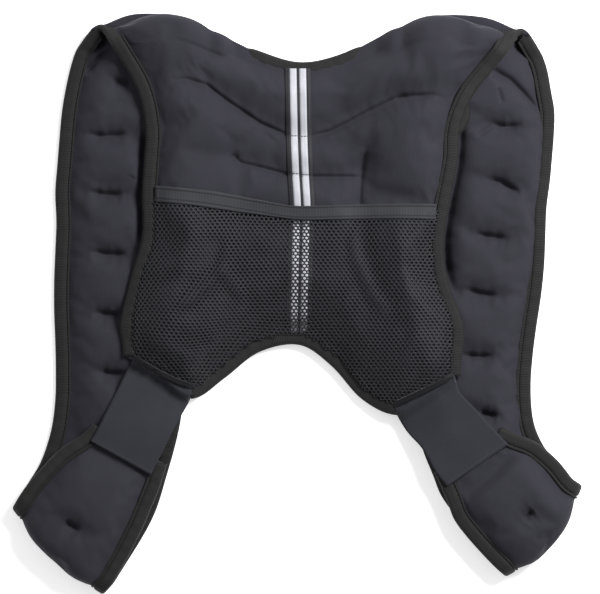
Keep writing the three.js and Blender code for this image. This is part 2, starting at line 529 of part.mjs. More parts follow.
// Back panel: shoulders that roll over the folds, neckline, padded body and bottom arch.
function backPanel() {
  const curves = BACK_ROWS.map((row) => rowCurve(row.stations));
  const lastRow = BACK_ROWS.length - 1;
  const shoulder = (share) => {
    const outer = Math.min(share, 1 - share);
    return 1 - smooth((outer - SHOULDER_SHARE) / (NECK_SHARE - SHOULDER_SHARE));
  };
  const steps = [0, 1, 2, 3, 4].map((k) => ({ edge: 'top', k }));
  steps.push({ from: 0, mix: 0.7 });
  for (let k = 1; k < lastRow; k += 1) {
    steps.push({ from: k, mix: 0 });
    for (const mix of BACK_ROWS[k].after) steps.push({ from: k, mix });
  }
  steps.push({ edge: 'bottom', k: 1 });
  steps.push({ edge: 'bottom', k: 0 });

  const flangeReach = (curve, share, toward) => {
    const tangent = curve(Math.min(1, share + 0.01)).sub(curve(Math.max(0, share - 0.01))).normalize();
    return FLANGE_WIDTH / Math.max(0.6, tangent.cross(toward).length());
  };
  const plan = (step, share) => {
    if (step.edge) {
      const row = step.edge === 'top' ? 0 : lastRow;
      const inner = step.edge === 'top' ? 1 : lastRow - 1;
      const base = curves[row](share);
      const toward = curves[inner](share).sub(base).normalize();
      const reach = flangeReach(curves[row], share, toward);
      if (step.edge === 'bottom') return base.addScaledVector(toward, reach * step.k);
      const turn = (Math.PI / 6) * step.k;
      const rolled = step.k < 4 ? FOLD_RADIUS * (1 - Math.cos(turn)) : FOLD_RADIUS * 1.6;
      const straight = (reach * step.k) / 4;
      return base.addScaledVector(toward, straight + (rolled - straight) * shoulder(share));
    }
    return curves[step.from](share).lerp(curves[step.from + 1](share), step.mix);
  };
  const value = (step, key) => {
    if (step.edge === 'top') return BACK_ROWS[0][key] + 0.0 * step.k;
    if (step.edge === 'bottom') return BACK_ROWS[lastRow][key];
    const first = BACK_ROWS[step.from][key];
    return first + (BACK_ROWS[step.from + 1][key] - first) * step.mix;
  };
  const stitchDip = (step, share) => {
    const channel = step.edge ? null : BACK_ROWS[step.from].stitch;
    if (!channel || step.mix) return 0;
    const [from, to, depth] = channel;
    const inside = Math.min(share - from, to - share) / 0.05;
    return depth * smooth(inside);
  };

  const points = [];
  const thickness = [];
  const shareRows = steps.map((step, i) => {
    const near = steps[Math.max(0, i - 1)];
    const next = steps[Math.min(steps.length - 1, i + 1)];
    const flange = (side) => {
      const inward = side === 0 ? 0.08 : 0.92;
      const first = plan(step, side);
      const across = plan(step, inward).sub(first);
      const edge = plan(next, side).sub(plan(near, side)).normalize();
      const lean = Math.max(0.6, across.clone().normalize().cross(edge).length());
      return (0.08 * FLANGE_WIDTH) / lean / across.length();
    };
    return [0, flange(0), ...BACK_COLUMNS, 1 - flange(1), 1];
  });
  const topFlange = steps.findIndex((step) => step.edge === 'top' && step.k === 4);
  const bottomFlange = steps.length - 2;
  const flats = steps.map((step, i) => shareRows[i].map((share) => plan(step, share)));
  steps.forEach((step, i) => {
    const shares = shareRows[i];
    const row = [];
    const depths = [];
    let fromLeft = 0;
    const walked = shares.map((_, j) => {
      if (j > 1) fromLeft += flats[i][j].distanceTo(flats[i][j - 1]);
      return fromLeft;
    });
    const across = walked[shares.length - 2];
    shares.forEach((share, j) => {
      const rolled = shoulder(share);
      const sideInset = Math.min(walked[j], across - walked[j]);
      let neckInset = 0;
      for (let k = topFlange + 1; k <= i; k += 1) neckInset += flats[k][j].distanceTo(flats[k - 1][j]);
      let archInset = 0;
      for (let k = i; k < bottomFlange; k += 1) archInset += flats[k][j].distanceTo(flats[k + 1][j]);
      const seamRun = neckSeamInset(share, flats[i], shares, rolled);
      const neckPuff = Math.max(puff(neckInset), rolled * puff(seamRun + neckInset * 0.5));
      const full = puff(sideInset) * neckPuff * puff(archInset);
      const pad = Math.max(RIM_THICKNESS, PAD_THICKNESS * value(step, 'pad'));
      const depth = RIM_THICKNESS + (pad * (1 - stitchDip(step, share)) - RIM_THICKNESS) * full;
      const perch = value(step, 'perch');
      const outer = Math.min(share, 1 - share);
      const sag = smooth((outer - perch * 0.3) / (perch * 1.7));
      const base = BACK_SIDE_BASE + (BACK_MIDDLE_BASE - BACK_SIDE_BASE) * sag;
      let height = base + depth / 2;
      if (step.edge === 'top' && step.k < 4) {
        const turn = (Math.PI / 6) * step.k;
        const seam = SEAM_HEIGHT + SEAM_GAP / 2;
        const shoulderHeight = seam + (BACK_SIDE_BASE + depth / 2 - seam) * Math.sin(turn);
        const neckHeight = NECK_HEIGHT + (NECK_RISE * step.k) / 4;
        height = neckHeight + (shoulderHeight - neckHeight) * rolled;
      } else if (step.edge === 'top') {
        const shoulderHeight = BACK_SIDE_BASE + depth / 2;
        height = NECK_HEIGHT + NECK_RISE + (shoulderHeight - NECK_HEIGHT - NECK_RISE) * rolled;
      }
      const point = flats[i][j].clone();
      point.z = height;
      row.push(point);
      depths.push(depth);
    });
    points.push(row);
    thickness.push(depths);
  });
  const normals = gridNormals(points, true);
  steps.forEach((step, i) => {
    if (step.edge !== 'top') normals[i] = normals[i].map(() => upright(false));
  });
  const level = (list) => list.map((normal, j) => (
    shoulder(shareRows[0][j]) > 0.5 ? levelled(normal) : normal
  ));
  normals[0] = level(normals[0]);
  levelFlanges(normals);
  normals[0] = level(normals[0]);
  for (let j = 0; j < BACK_COLUMNS.length + 4; j += 1) {
    if (shoulder(shareRows[0][j]) < 0.5) {
      for (let i = 0; i <= topFlange; i += 1) normals[i][j] = normals[2][j].clone();
    }
  }
  const panel = thicken({ points, normals, thickness });
  panel.steps = steps;
  panel.topFlange = topFlange;
  panel.bottomFlange = bottomFlange;
  return panel;
}

// Distance from the neck edge along the shoulder seam, so the padding thins towards it.
function neckSeamInset(share, flat, shares, rolled) {
  if (rolled === 0) return 0;
  const neckAt = shares.indexOf(share < 0.5 ? SHOULDER_SHARE : 1 - SHOULDER_SHARE);
  const here = shares.indexOf(share);
  return Math.max(0, flat[here].distanceTo(flat[neckAt]) - FLANGE_WIDTH);
}

// Point on the back panel's upper face at fractional row and column numbers.
function skinPoint(panel, i, j, lift) {
  const i0 = Math.min(Math.floor(i), panel.upper.length - 2);
  const j0 = Math.min(Math.floor(j), panel.upper[0].length - 2);
  const blend = (grid) => {
    const first = grid[i0][j0].clone().lerp(grid[i0][j0 + 1], j - j0);
    const second = grid[i0 + 1][j0].clone().lerp(grid[i0 + 1][j0 + 1], j - j0);
    return first.lerp(second, i - i0);
  };
  return blend(panel.upper).addScaledVector(blend(panel.normals).normalize(), lift);
}

// Flat piece that lies over the back panel at an even distance from it.
function overlay(panel, name, finish, rows, columns, lift, thickness, openCells) {
  const grid = (height) => rows.map((i) => columns.map((j) => skinPoint(panel, i, j, height)));
  return outwardFaces(slab(name, finish, grid(lift + thickness), grid(lift), openCells));
}

function range(from, to) {
  return Array.from({ length: to - from + 1 }, (_, k) => from + k);
}

function webbing(name, rows) {
  const grid = (side) => rows.map((row) => row.heights.map((height, k) => {
    const point = place(row.outer, 0).lerp(place(row.inner, 0), k / (row.heights.length - 1));
    point.z = height + (side * STRAP_THICKNESS) / 2;
    return point;
  }));
  return outwardFaces(slab(name, COLOURS.webbing, grid(1), grid(-1)));
}

const group = new THREE.Group();
const back = backPanel();
const leftFront = frontPanel(LEFT_FRONT_ROWS, false);
const rightFront = frontPanel(RIGHT_FRONT_ROWS, true);

group.add(outwardFaces(slab('back_panel', COLOURS.shell, back.upper, back.lower)));
group.add(outwardFaces(slab('front_panel_left', COLOURS.front, leftFront.upper, leftFront.lower)));
group.add(outwardFaces(slab('front_panel_right', COLOURS.front, rightFront.upper, rightFront.lower)));

// Bindings along the cut edges.
group.add(binding('armhole_binding_back_left', sideEdges(back, 'first')));
group.add(binding('armhole_binding_back_right', sideEdges(back, 'last'), true));
group.add(binding('armhole_binding_front_left', sideEdges(leftFront, 'first')));
group.add(binding('armhole_binding_front_right', sideEdges(rightFront, 'first')));
group.add(binding('front_edge_binding_left', sideEdges(leftFront, 'last'), true));
group.add(binding('front_edge_binding_right', sideEdges(rightFront, 'last'), true));

const columnOf = (share) => BACK_COLUMNS.indexOf(share) + 2;
const rowEdges = (edge, inside, from, to) => {
  const list = [];
  for (let j = columnOf(from); j <= columnOf(to); j += 1) {
    list.push({
      point: back.points[edge][j], inside: back.points[inside][j], normal: back.normals[edge][j],
    });
  }
  return list;
};
const bottomRow = back.steps.length - 1;
group.add(binding('neckline_binding', rowEdges(0, back.topFlange, NECK_SHARE, 1 - NECK_SHARE)));
const archEdges = rowEdges(bottomRow, back.bottomFlange, ARCH_FROM, 1 - ARCH_FROM);
group.add(binding('arch_binding', archEdges, true));

// Reflective tape down the middle, from the neckline to the arch.
const stepOf = (name) => {
  const from = BACK_ROWS.findIndex((row) => row.name === name);
  return back.steps.findIndex((step) => step.from === from && step.mix === 0);
};
const tapeRows = range(back.topFlange, back.bottomFlange);
tapeRows[0] += 0.1;
tapeRows[tapeRows.length - 1] -= 0.1;
const tapeLeft = columnOf(TAPE_FROM);
group.add(overlay(
  back, 'stripe_tape', COLOURS.stripeBase, tapeRows, [tapeLeft, tapeLeft + 1, tapeLeft + 2],
  LAYER_GAP, STRIPE_BASE_THICKNESS,
));
const stripeLift = LAYER_GAP * 2 + STRIPE_BASE_THICKNESS;
const stripes = { stripe_left: [0.12, 0.72], stripe_right: [0.96, 1.56] };
for (const [name, [from, to]] of Object.entries(stripes)) {
  group.add(overlay(
    back, name, COLOURS.stripe, tapeRows, [tapeLeft + from, tapeLeft + to],
    stripeLift, STRIPE_THICKNESS,
  ));
}

// Mesh pocket with its elastic top band.
const bandRow = stepOf('band');
const lastColumn = back.points[0].length - 1;
const allColumns = range(1, lastColumn - 1);
group.add(overlay(
  back, 'pocket_band', COLOURS.band, [bandRow - 0.43, bandRow, bandRow + 0.38], allColumns,
  POCKET_LIFT, BAND_THICKNESS,
));
const meshRows = [bandRow + 0.42, ...range(bandRow + 1, back.bottomFlange)];
group.add(overlay(
  back, 'pocket_mesh', COLOURS.mesh, meshRows, allColumns, POCKET_LIFT, MESH_THICKNESS,
  (i, j) => i % 2 === 1 && j % 2 === 1,
));

group.add(webbing('side_strap_left', LEFT_STRAP_ROWS));
group.add(webbing('side_strap_right', RIGHT_STRAP_ROWS));

// Sets the lowest point on the surface and centres the vest over the origin.
const bounds = new THREE.Box3().setFromObject(group);
const centre = bounds.getCenter(new THREE.Vector3());
for (const mesh of group.children) mesh.geometry.translate(-centre.x, -centre.y, -bounds.min.z);

export default group;
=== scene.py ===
import math

import bpy
import numpy as np
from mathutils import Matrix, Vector
from mathutils.bvhtree import BVHTree


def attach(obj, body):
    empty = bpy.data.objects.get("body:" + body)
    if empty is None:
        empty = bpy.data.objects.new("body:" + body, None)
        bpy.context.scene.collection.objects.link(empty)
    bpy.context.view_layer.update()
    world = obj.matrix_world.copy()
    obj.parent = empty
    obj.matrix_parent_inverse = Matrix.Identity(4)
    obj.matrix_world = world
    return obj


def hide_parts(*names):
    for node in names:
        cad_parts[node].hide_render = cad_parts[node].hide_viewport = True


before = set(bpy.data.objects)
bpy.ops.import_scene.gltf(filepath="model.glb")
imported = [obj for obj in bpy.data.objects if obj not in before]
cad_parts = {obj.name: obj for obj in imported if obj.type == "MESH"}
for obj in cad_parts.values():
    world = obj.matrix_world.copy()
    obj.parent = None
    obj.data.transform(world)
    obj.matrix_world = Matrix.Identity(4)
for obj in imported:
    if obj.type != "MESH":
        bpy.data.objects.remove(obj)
bpy.ops.object.select_all(action="DESELECT")
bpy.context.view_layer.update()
print("frame loaded")

# Sizes in millimetres. The tables below give plan places as shares of the width and length.
vest = {
    "width": 497.0,
    "length": 508.0,
    "shift": (0.205, 0.283),  # brings the plan to the frame's middle
    "pad": 17.0,  # thickness of a full pad
    "rim": 3.2,  # thickness of the flange under the tape
    "flange": 11.5,  # width of that flange
    "puffRun": 24.0,  # how far from a seam the padding is full
    "puffPower": 0.8,
    "rimLift": 1.9,
    "seamHeight": 17.5,
    "seamGap": 0.15,  # half the gap between the two layers of a shoulder seam
    "wingBase": 19.6,  # underside of the folded ends
    "backSideBase": 21.2,
    "backMiddleBase": 6.8,
    "neckHeight": 10.5,
    "neckRise": 3.0,
    "neckRun": 22,  # how far from the neckline that rise runs out
    "clear": 400,  # added where a shoulder is rolled, so no edge counts as near there
    "foldRadius": 9.5,
    "frontAcross": 96,
    "backAcross": 300,
    "shoulderShare": 0.32,
    "neckShare": 0.345,
    "archShare": 0.195,
    "flangeColumns": (0.33, 0.67),  # where a flange has columns of its own
    "leftColumns": (0, 0.015, 0.03),  # the same on the back, as shares of its width
    "middleColumns": (0.045, 0.955),
    "rightColumns": (0.97, 0.985, 1),
    "frontLean": 0.85,  # slanting edges widen a flange no further than by this
    "backLean": 0.6,
    "turnShare": 0.8,  # share of the shoulder's flange that turns over
    "turnRate": 1.25,
    "runOn": 3,  # how fast the rest runs on flat
}

backRows = [  # name, share of the padding, perch on the fronts, stations across
    ("top", 0.8, 0.32, [(0, -0.341, 0.471), (0.1, -0.295, 0.474), (0.2, -0.228, 0.486),
        (0.32, -0.129, 0.46), (0.41, -0.069, 0.434), (0.5, 0.005, 0.414), (0.59, 0.08, 0.429),
        (0.68, 0.164, 0.469), (0.8, 0.247, 0.484), (0.9, 0.316, 0.469), (1, 0.387, 0.457)]),
    ("yoke", 0.9, 0.3, [(0, -0.313, 0.431), (0.2, -0.217, 0.443), (0.32, -0.129, 0.412),
        (0.5, 0.004, 0.353), (0.68, 0.154, 0.408), (0.8, 0.226, 0.431), (1, 0.348, 0.412)]),
    ("upper stitch", 0.9, 0.28, [(0, -0.277, 0.367), (0.1, -0.233, 0.383), (0.2, -0.191, 0.395),
        (0.32, -0.131, 0.362), (0.41, -0.072, 0.322), (0.5, 0.004, 0.296), (0.59, 0.085, 0.32),
        (0.68, 0.141, 0.346), (0.8, 0.193, 0.367), (0.9, 0.242, 0.367), (1, 0.304, 0.357)]),
    ("shoulder blade", 1, 0.22, [(0, -0.263, 0.301), (0.2, -0.177, 0.319), (0.32, -0.12, 0.307),
        (0.5, 0.004, 0.262), (0.68, 0.136, 0.284), (0.8, 0.189, 0.296), (1, 0.282, 0.3)]),
    ("lower stitch", 0.95, 0.18, [(0, -0.265, 0.253), (0.2, -0.171, 0.258),
        (0.32, -0.106, 0.255), (0.5, 0.004, 0.226), (0.68, 0.115, 0.224), (0.8, 0.173, 0.231),
        (1, 0.279, 0.25)]),
    ("band", 0.9, 0.16, [(0, -0.269, 0.191), (0.2, -0.163, 0.18), (0.5, 0.005, 0.158),
        (0.8, 0.175, 0.16), (1, 0.263, 0.167)]),
    ("waist", 0.95, 0.16, [(0, -0.269, 0.117), (0.5, 0.004, 0.094), (1, 0.254, 0.101)]),
    ("ribs", 1, 0.17, [(0, -0.29, 0.042), (0.5, 0.004, 0.032), (1, 0.263, 0.034)]),
    ("hip", 1, 0.18, [(0, -0.307, -0.03), (0.5, 0.004, -0.02), (1, 0.288, -0.035)]),
    ("bottom", 0, 0.18, [(0, -0.302, -0.089), (0.1, -0.242, -0.125), (0.2, -0.187, -0.16),
        (0.32, -0.127, -0.123), (0.41, -0.069, -0.08), (0.5, 0.004, -0.067),
        (0.59, 0.062, -0.104), (0.68, 0.115, -0.161), (0.8, 0.178, -0.188), (0.9, 0.231, -0.16),
        (1, 0.284, -0.123)]),
]
leftFrontRows = [  # name, armhole edge, middle, closure edge, share of the padding
    ("crest", (-0.363, 0.473), (-0.248, 0.487), (-0.138, 0.461), 0.8),
    ("yoke top", (-0.376, 0.456), (-0.25, 0.467), (-0.14, 0.441), 0.82),
    ("corner", (-0.387, 0.438), (-0.252, 0.446), (-0.142, 0.42), 0.9),
    ("yoke", (-0.396, 0.412), (-0.262, 0.412), (-0.147, 0.391), 0.95),
    ("pad", (-0.405, 0.374), (-0.276, 0.377), (-0.154, 0.357), 1),
    ("pad", (-0.412, 0.334), (-0.288, 0.336), (-0.168, 0.322), 1),
    ("pad", (-0.416, 0.294), (-0.299, 0.296), (-0.178, 0.284), 1),
    ("pad", (-0.42, 0.244), (-0.306, 0.244), (-0.189, 0.236), 1),
    ("pad", (-0.424, 0.193), (-0.311, 0.193), (-0.196, 0.187), 1),
    ("pad", (-0.422, 0.142), (-0.313, 0.142), (-0.2, 0.139), 1),
    ("pad", (-0.424, 0.091), (-0.314, 0.091), (-0.203, 0.087), 1),
    ("pad", (-0.426, 0.039), (-0.316, 0.039), (-0.205, 0.037), 1),
    ("pad", (-0.426, -0.013), (-0.316, -0.013), (-0.207, -0.013), 1),
    ("pad", (-0.424, -0.065), (-0.316, -0.065), (-0.207, -0.065), 1),
    ("pad", (-0.423, -0.115), (-0.315, -0.115), (-0.207, -0.115), 1),
    ("pad", (-0.424, -0.165), (-0.316, -0.168), (-0.205, -0.165), 1),
    ("hip", (-0.431, -0.217), (-0.325, -0.231), (-0.212, -0.217), 1),
    ("turn", (-0.449, -0.272), (-0.343, -0.303), (-0.233, -0.294), 0.95),
    ("turn", (-0.47, -0.307), (-0.369, -0.357), (-0.26, -0.372), 0.9),
    ("fold in", (-0.486, -0.332), (-0.41, -0.415), (-0.327, -0.481), 0.8),
    ("fold out", (-0.497, -0.35), (-0.424, -0.429), (-0.341, -0.495), 0.75),
    ("wing root", (-0.486, -0.332), (-0.41, -0.415), (-0.327, -0.479), 0.8),
    ("wing", (-0.468, -0.307), (-0.389, -0.386), (-0.299, -0.431), 0.92),
    ("wing", (-0.447, -0.284), (-0.369, -0.351), (-0.274, -0.383), 0.95),
    ("wing", (-0.422, -0.258), (-0.346, -0.31), (-0.256, -0.341), 0.85),
    ("wing", (-0.398, -0.24), (-0.33, -0.282), (-0.245, -0.316), 0.5),
    ("hem", (-0.375, -0.226), (-0.314, -0.266), (-0.24, -0.3), 0),
    ("wing end", (-0.355, -0.206), (-0.295, -0.238), (-0.232, -0.274), 0),
]
rightFrontRows = [  # name, armhole edge, middle, closure edge, share of the padding
    ("crest", (0.409, 0.464), (0.283, 0.485), (0.173, 0.47), 0.8),
    ("yoke top", (0.42, 0.448), (0.283, 0.465), (0.174, 0.45), 0.82),
    ("corner", (0.429, 0.43), (0.283, 0.444), (0.176, 0.426), 0.9),
    ("yoke", (0.438, 0.405), (0.292, 0.408), (0.18, 0.393), 0.95),
    ("pad", (0.445, 0.367), (0.317, 0.367), (0.186, 0.357), 1),
    ("pad", (0.451, 0.332), (0.335, 0.337), (0.194, 0.326), 1),
    ("pad", (0.45, 0.294), (0.348, 0.307), (0.203, 0.298), 1),
    ("pad", (0.447, 0.256), (0.355, 0.263), (0.21, 0.256), 1),
    ("pad", (0.443, 0.213), (0.354, 0.217), (0.214, 0.212), 1),
    ("pad", (0.437, 0.168), (0.35, 0.17), (0.216, 0.163), 1),
    ("pad", (0.435, 0.12), (0.346, 0.122), (0.216, 0.115), 1),
    ("pad", (0.433, 0.07), (0.339, 0.07), (0.214, 0.065), 1),
    ("pad", (0.428, 0.02), (0.329, 0.02), (0.212, 0.015), 1),
    ("pad", (0.42, -0.032), (0.323, -0.032), (0.208, -0.035), 1),
    ("pad", (0.413, -0.084), (0.318, -0.084), (0.205, -0.087), 1),
    ("pad", (0.409, -0.136), (0.318, -0.137), (0.205, -0.142), 1),
    ("pad", (0.411, -0.186), (0.322, -0.187), (0.21, -0.193), 1),
    ("hip", (0.419, -0.22), (0.33, -0.231), (0.223, -0.246), 1),
    ("turn", (0.438, -0.255), (0.348, -0.286), (0.242, -0.293), 0.95),
    ("turn", (0.463, -0.279), (0.376, -0.331), (0.263, -0.339), 0.9),
    ("fold in", (0.481, -0.305), (0.426, -0.391), (0.355, -0.45), 0.8),
    ("fold out", (0.496, -0.312), (0.44, -0.403), (0.366, -0.464), 0.75),
    ("wing root", (0.481, -0.303), (0.426, -0.391), (0.353, -0.453), 0.8),
    ("wing", (0.459, -0.275), (0.399, -0.367), (0.329, -0.429), 0.92),
    ("wing", (0.44, -0.257), (0.38, -0.338), (0.299, -0.396), 0.95),
    ("wing", (0.42, -0.241), (0.35, -0.307), (0.277, -0.367), 0.85),
    ("wing", (0.404, -0.233), (0.341, -0.301), (0.271, -0.351), 0.5),
    ("hem", (0.386, -0.227), (0.327, -0.287), (0.263, -0.331), 0),
    ("wing end", (0.355, -0.213), (0.292, -0.25), (0.243, -0.287), 0),
]
leftStrapRows = [  # outer edge, inner edge, heights from edge to edge
    ((-0.288, -0.094), (-0.179, -0.1425), (18.1, 17, 9.6)),
    ((-0.297, -0.11), (-0.189, -0.165), (18.1, 17, 9.6)),
    ((-0.308, -0.132), (-0.199, -0.183), (20, 18.6, 13)),
    ((-0.33, -0.175), (-0.216, -0.214), (24, 23.4, 21)),
    ((-0.349, -0.212), (-0.235, -0.251), (25.7, 25.7, 25.7)),
    ((-0.362, -0.234), (-0.256, -0.293), (25.7, 25.7, 25.7)),
]
rightStrapRows = [
    ((0.2739, -0.12), (0.1673, -0.1718), (18.1, 17, 9.6)),
    ((0.279, -0.131), (0.176, -0.192), (18.1, 17, 9.6)),
    ((0.285, -0.15), (0.193, -0.219), (20, 18.6, 13)),
    ((0.313, -0.18), (0.22, -0.249), (24, 23.4, 21)),
    ((0.339, -0.208), (0.241, -0.286), (25.7, 25.7, 25.7)),
    ((0.37, -0.24), (0.262, -0.312), (25.7, 25.7, 25.7)),
]


def toFrame(points):  # millimetres in plan to metres of the frame
    return (points + [vest["shift"][0], vest["shift"][1], 0]) / 1000


def toPlan(points):  # and back, without the height
    return points[:, 0:2] * 1000 - np.array(vest["shift"])


def smooth(value):
    t = np.clip(value, 0, 1)
    return t * t * (3 - 2 * t)


def puff(distance):  # padding rises from a seam like a quarter wave
    return np.sin(np.pi / 2 * np.clip(distance / vest["puffRun"], 0, 1)) ** vest["puffPower"]


def throughKnots(knots, values, at):  # smooth curve through rows of numbers
    knots = np.asarray(knots, float)
    values = np.asarray(values, float)
    at = np.asarray(at, float)
    k = np.clip(np.searchsorted(knots, at, side="right") - 1, 0, len(knots) - 2)
    order = np.arange(len(knots))
    before = np.maximum(order - 1, 0)
    behind = np.minimum(order + 1, len(knots) - 1)
    slopes = (values[behind] - values[before]) / (knots[behind] - knots[before])[:, None]
    span = knots[k + 1] - knots[k]
    t = (at - knots[k]) / span
    t2, t3 = t * t, t * t * t
    return ((2 * t3 - 3 * t2 + 1)[:, None] * values[k]
            + (span * (t3 - 2 * t2 + t))[:, None] * slopes[k]
            + (3 * t2 - 2 * t3)[:, None] * values[k + 1]
            + (span * (t3 - t2))[:, None] * slopes[k + 1])


def walked(points):  # distance along a line of points
    steps = np.linalg.norm(np.diff(points, axis=0), axis=1)
    return np.concatenate([[0], np.cumsum(steps)])


def acrossRows(points):  # the same across every row of a grid
    steps = np.linalg.norm(np.diff(points, axis=1), axis=2)
    return np.concatenate([np.zeros((len(points), 1)), np.cumsum(steps, axis=1)], axis=1)


def ripple(x, y, size, seed):  # gentle unevenness, waves in many directions
    rng = np.random.default_rng(seed)
    total = np.zeros_like(np.asarray(x, float))
    for _ in range(9):
        turn = rng.uniform(0, np.pi)
        wave = 2 * np.pi / (size * rng.uniform(0.7, 1.5))
        total += np.sin(wave * (x * math.cos(turn) + y * math.sin(turn)) + rng.uniform(0, 6.28))
    return total / 4.2


def uneven(x, y, waves):  # waves as height, size and seed
    return sum(height * ripple(x, y, size, seed) for height, size, seed in waves)


def frontSheet(rows, spacing):  # lower layer, fold and wing as one sheet
    scale = np.array([vest["width"], vest["length"]] * 3)
    table = np.array([[*row[1], *row[2], *row[3]] for row in rows]) * scale
    pads = np.array([row[4] for row in rows], float)
    full = np.hstack([table, pads[:, None]])
    foldAt = [row[0] for row in rows].index("fold in")
    lines = []  # base row, row at the turn, angle, layer

    def run(first, last):
        part = full[first:last + 1]
        knots = walked((part[:, 2:4] + part[:, 0:2] + part[:, 4:6]) / 3)
        count = max(2, int(round(knots[-1] / spacing)) + 1)
        return throughKnots(knots, part, np.linspace(0, knots[-1], count))

    for angle in np.radians(np.linspace(90, 0, 9))[:-1]:
        lines.append((full[1], full[0], angle, 0))
    lines += [(row, row, None, 0) for row in run(1, foldAt)]
    turns = np.radians(np.linspace(0, 180, 19))
    for angle in turns[1:-1]:
        base = full[foldAt] if angle < math.pi / 2 else full[foldAt + 2]
        lines.append((base, full[foldAt + 1], angle, 1))
    lines += [(row, row, None, 2) for row in run(foldAt + 2, len(rows) - 1)]

    inside = np.linspace(0, 1, int(round(vest["frontAcross"] / spacing)) + 1)
    third, twoThirds = vest["flangeColumns"]

    def across(row, share):
        share = np.asarray(share)[:, None]
        return (row[0:2] * (2 * (share - 0.5) * (share - 1)) + row[2:4] * (4 * share * (1 - share))
                + row[4:6] * (2 * share * (share - 0.5)))

    def planOf(line, share):
        base = across(line[0], share)
        if line[2] is None:
            return base
        return base + (across(line[1], share) - base) * math.sin(line[2])

    points, normals, depths, insets = [], [], [], []
    for i, line in enumerate(lines):
        near, after = lines[max(0, i - 1)], lines[min(len(lines) - 1, i + 1)]
        ends = planOf(line, [0, 1])
        width = np.linalg.norm(ends[1] - ends[0])
        direction = (ends[1] - ends[0]) / width
        flanges = []
        for side in (0, 1):
            edge = planOf(after, [side])[0] - planOf(near, [side])[0]
            edge = edge / max(1e-6, np.linalg.norm(edge))
            lean = abs(direction[0] * edge[1] - direction[1] * edge[0])
            flanges.append(vest["flange"] / width / max(vest["frontLean"], lean))
        start, stop = flanges[0], 1 - flanges[1]
        shares = np.concatenate([
            [0, start * third, start * twoThirds], start + (stop - start) * inside,
            [1 - flanges[1] * twoThirds, 1 - flanges[1] * third, 1]])
        plan = planOf(line, shares)
        inset = np.minimum(shares - start, stop - shares) * width
        rise = puff(inset)
        pad = line[0][6]
        if line[2] is not None:
            pad = pad + (line[1][6] - pad) * math.sin(line[2])
        pad = max(vest["rim"], vest["pad"] * pad)
        depth = vest["rim"] + (pad - vest["rim"]) * rise
        low = depth / 2 + vest["rimLift"] * (1 - rise)
        high = vest["wingBase"] + depth / 2
        normal = np.zeros((len(shares), 3))
        if line[2] is None:
            height = high if line[3] == 2 else low
            normal[:, 2] = -1 if line[3] == 2 else 1
        else:
            out = across(line[1], shares) - across(line[0], shares)
            out /= np.linalg.norm(out, axis=1)[:, None]
            normal[:, 0:2] = -out * math.sin(line[2])
            normal[:, 2] = math.cos(line[2])
            if line[3] == 0:
                seam = vest["seamHeight"] - vest["seamGap"]
                height = seam + (low - seam) * math.cos(line[2])
            else:
                height = (low + high) / 2 + (low - high) / 2 * math.cos(line[2])
        points.append(np.hstack([plan, height[:, None]]))
        normals.append(normal)
        depths.append(depth)
        insets.append(inset)
    return {"points": np.array(points), "normals": np.array(normals),
            "depths": np.array(depths), "insets": np.array(insets)}


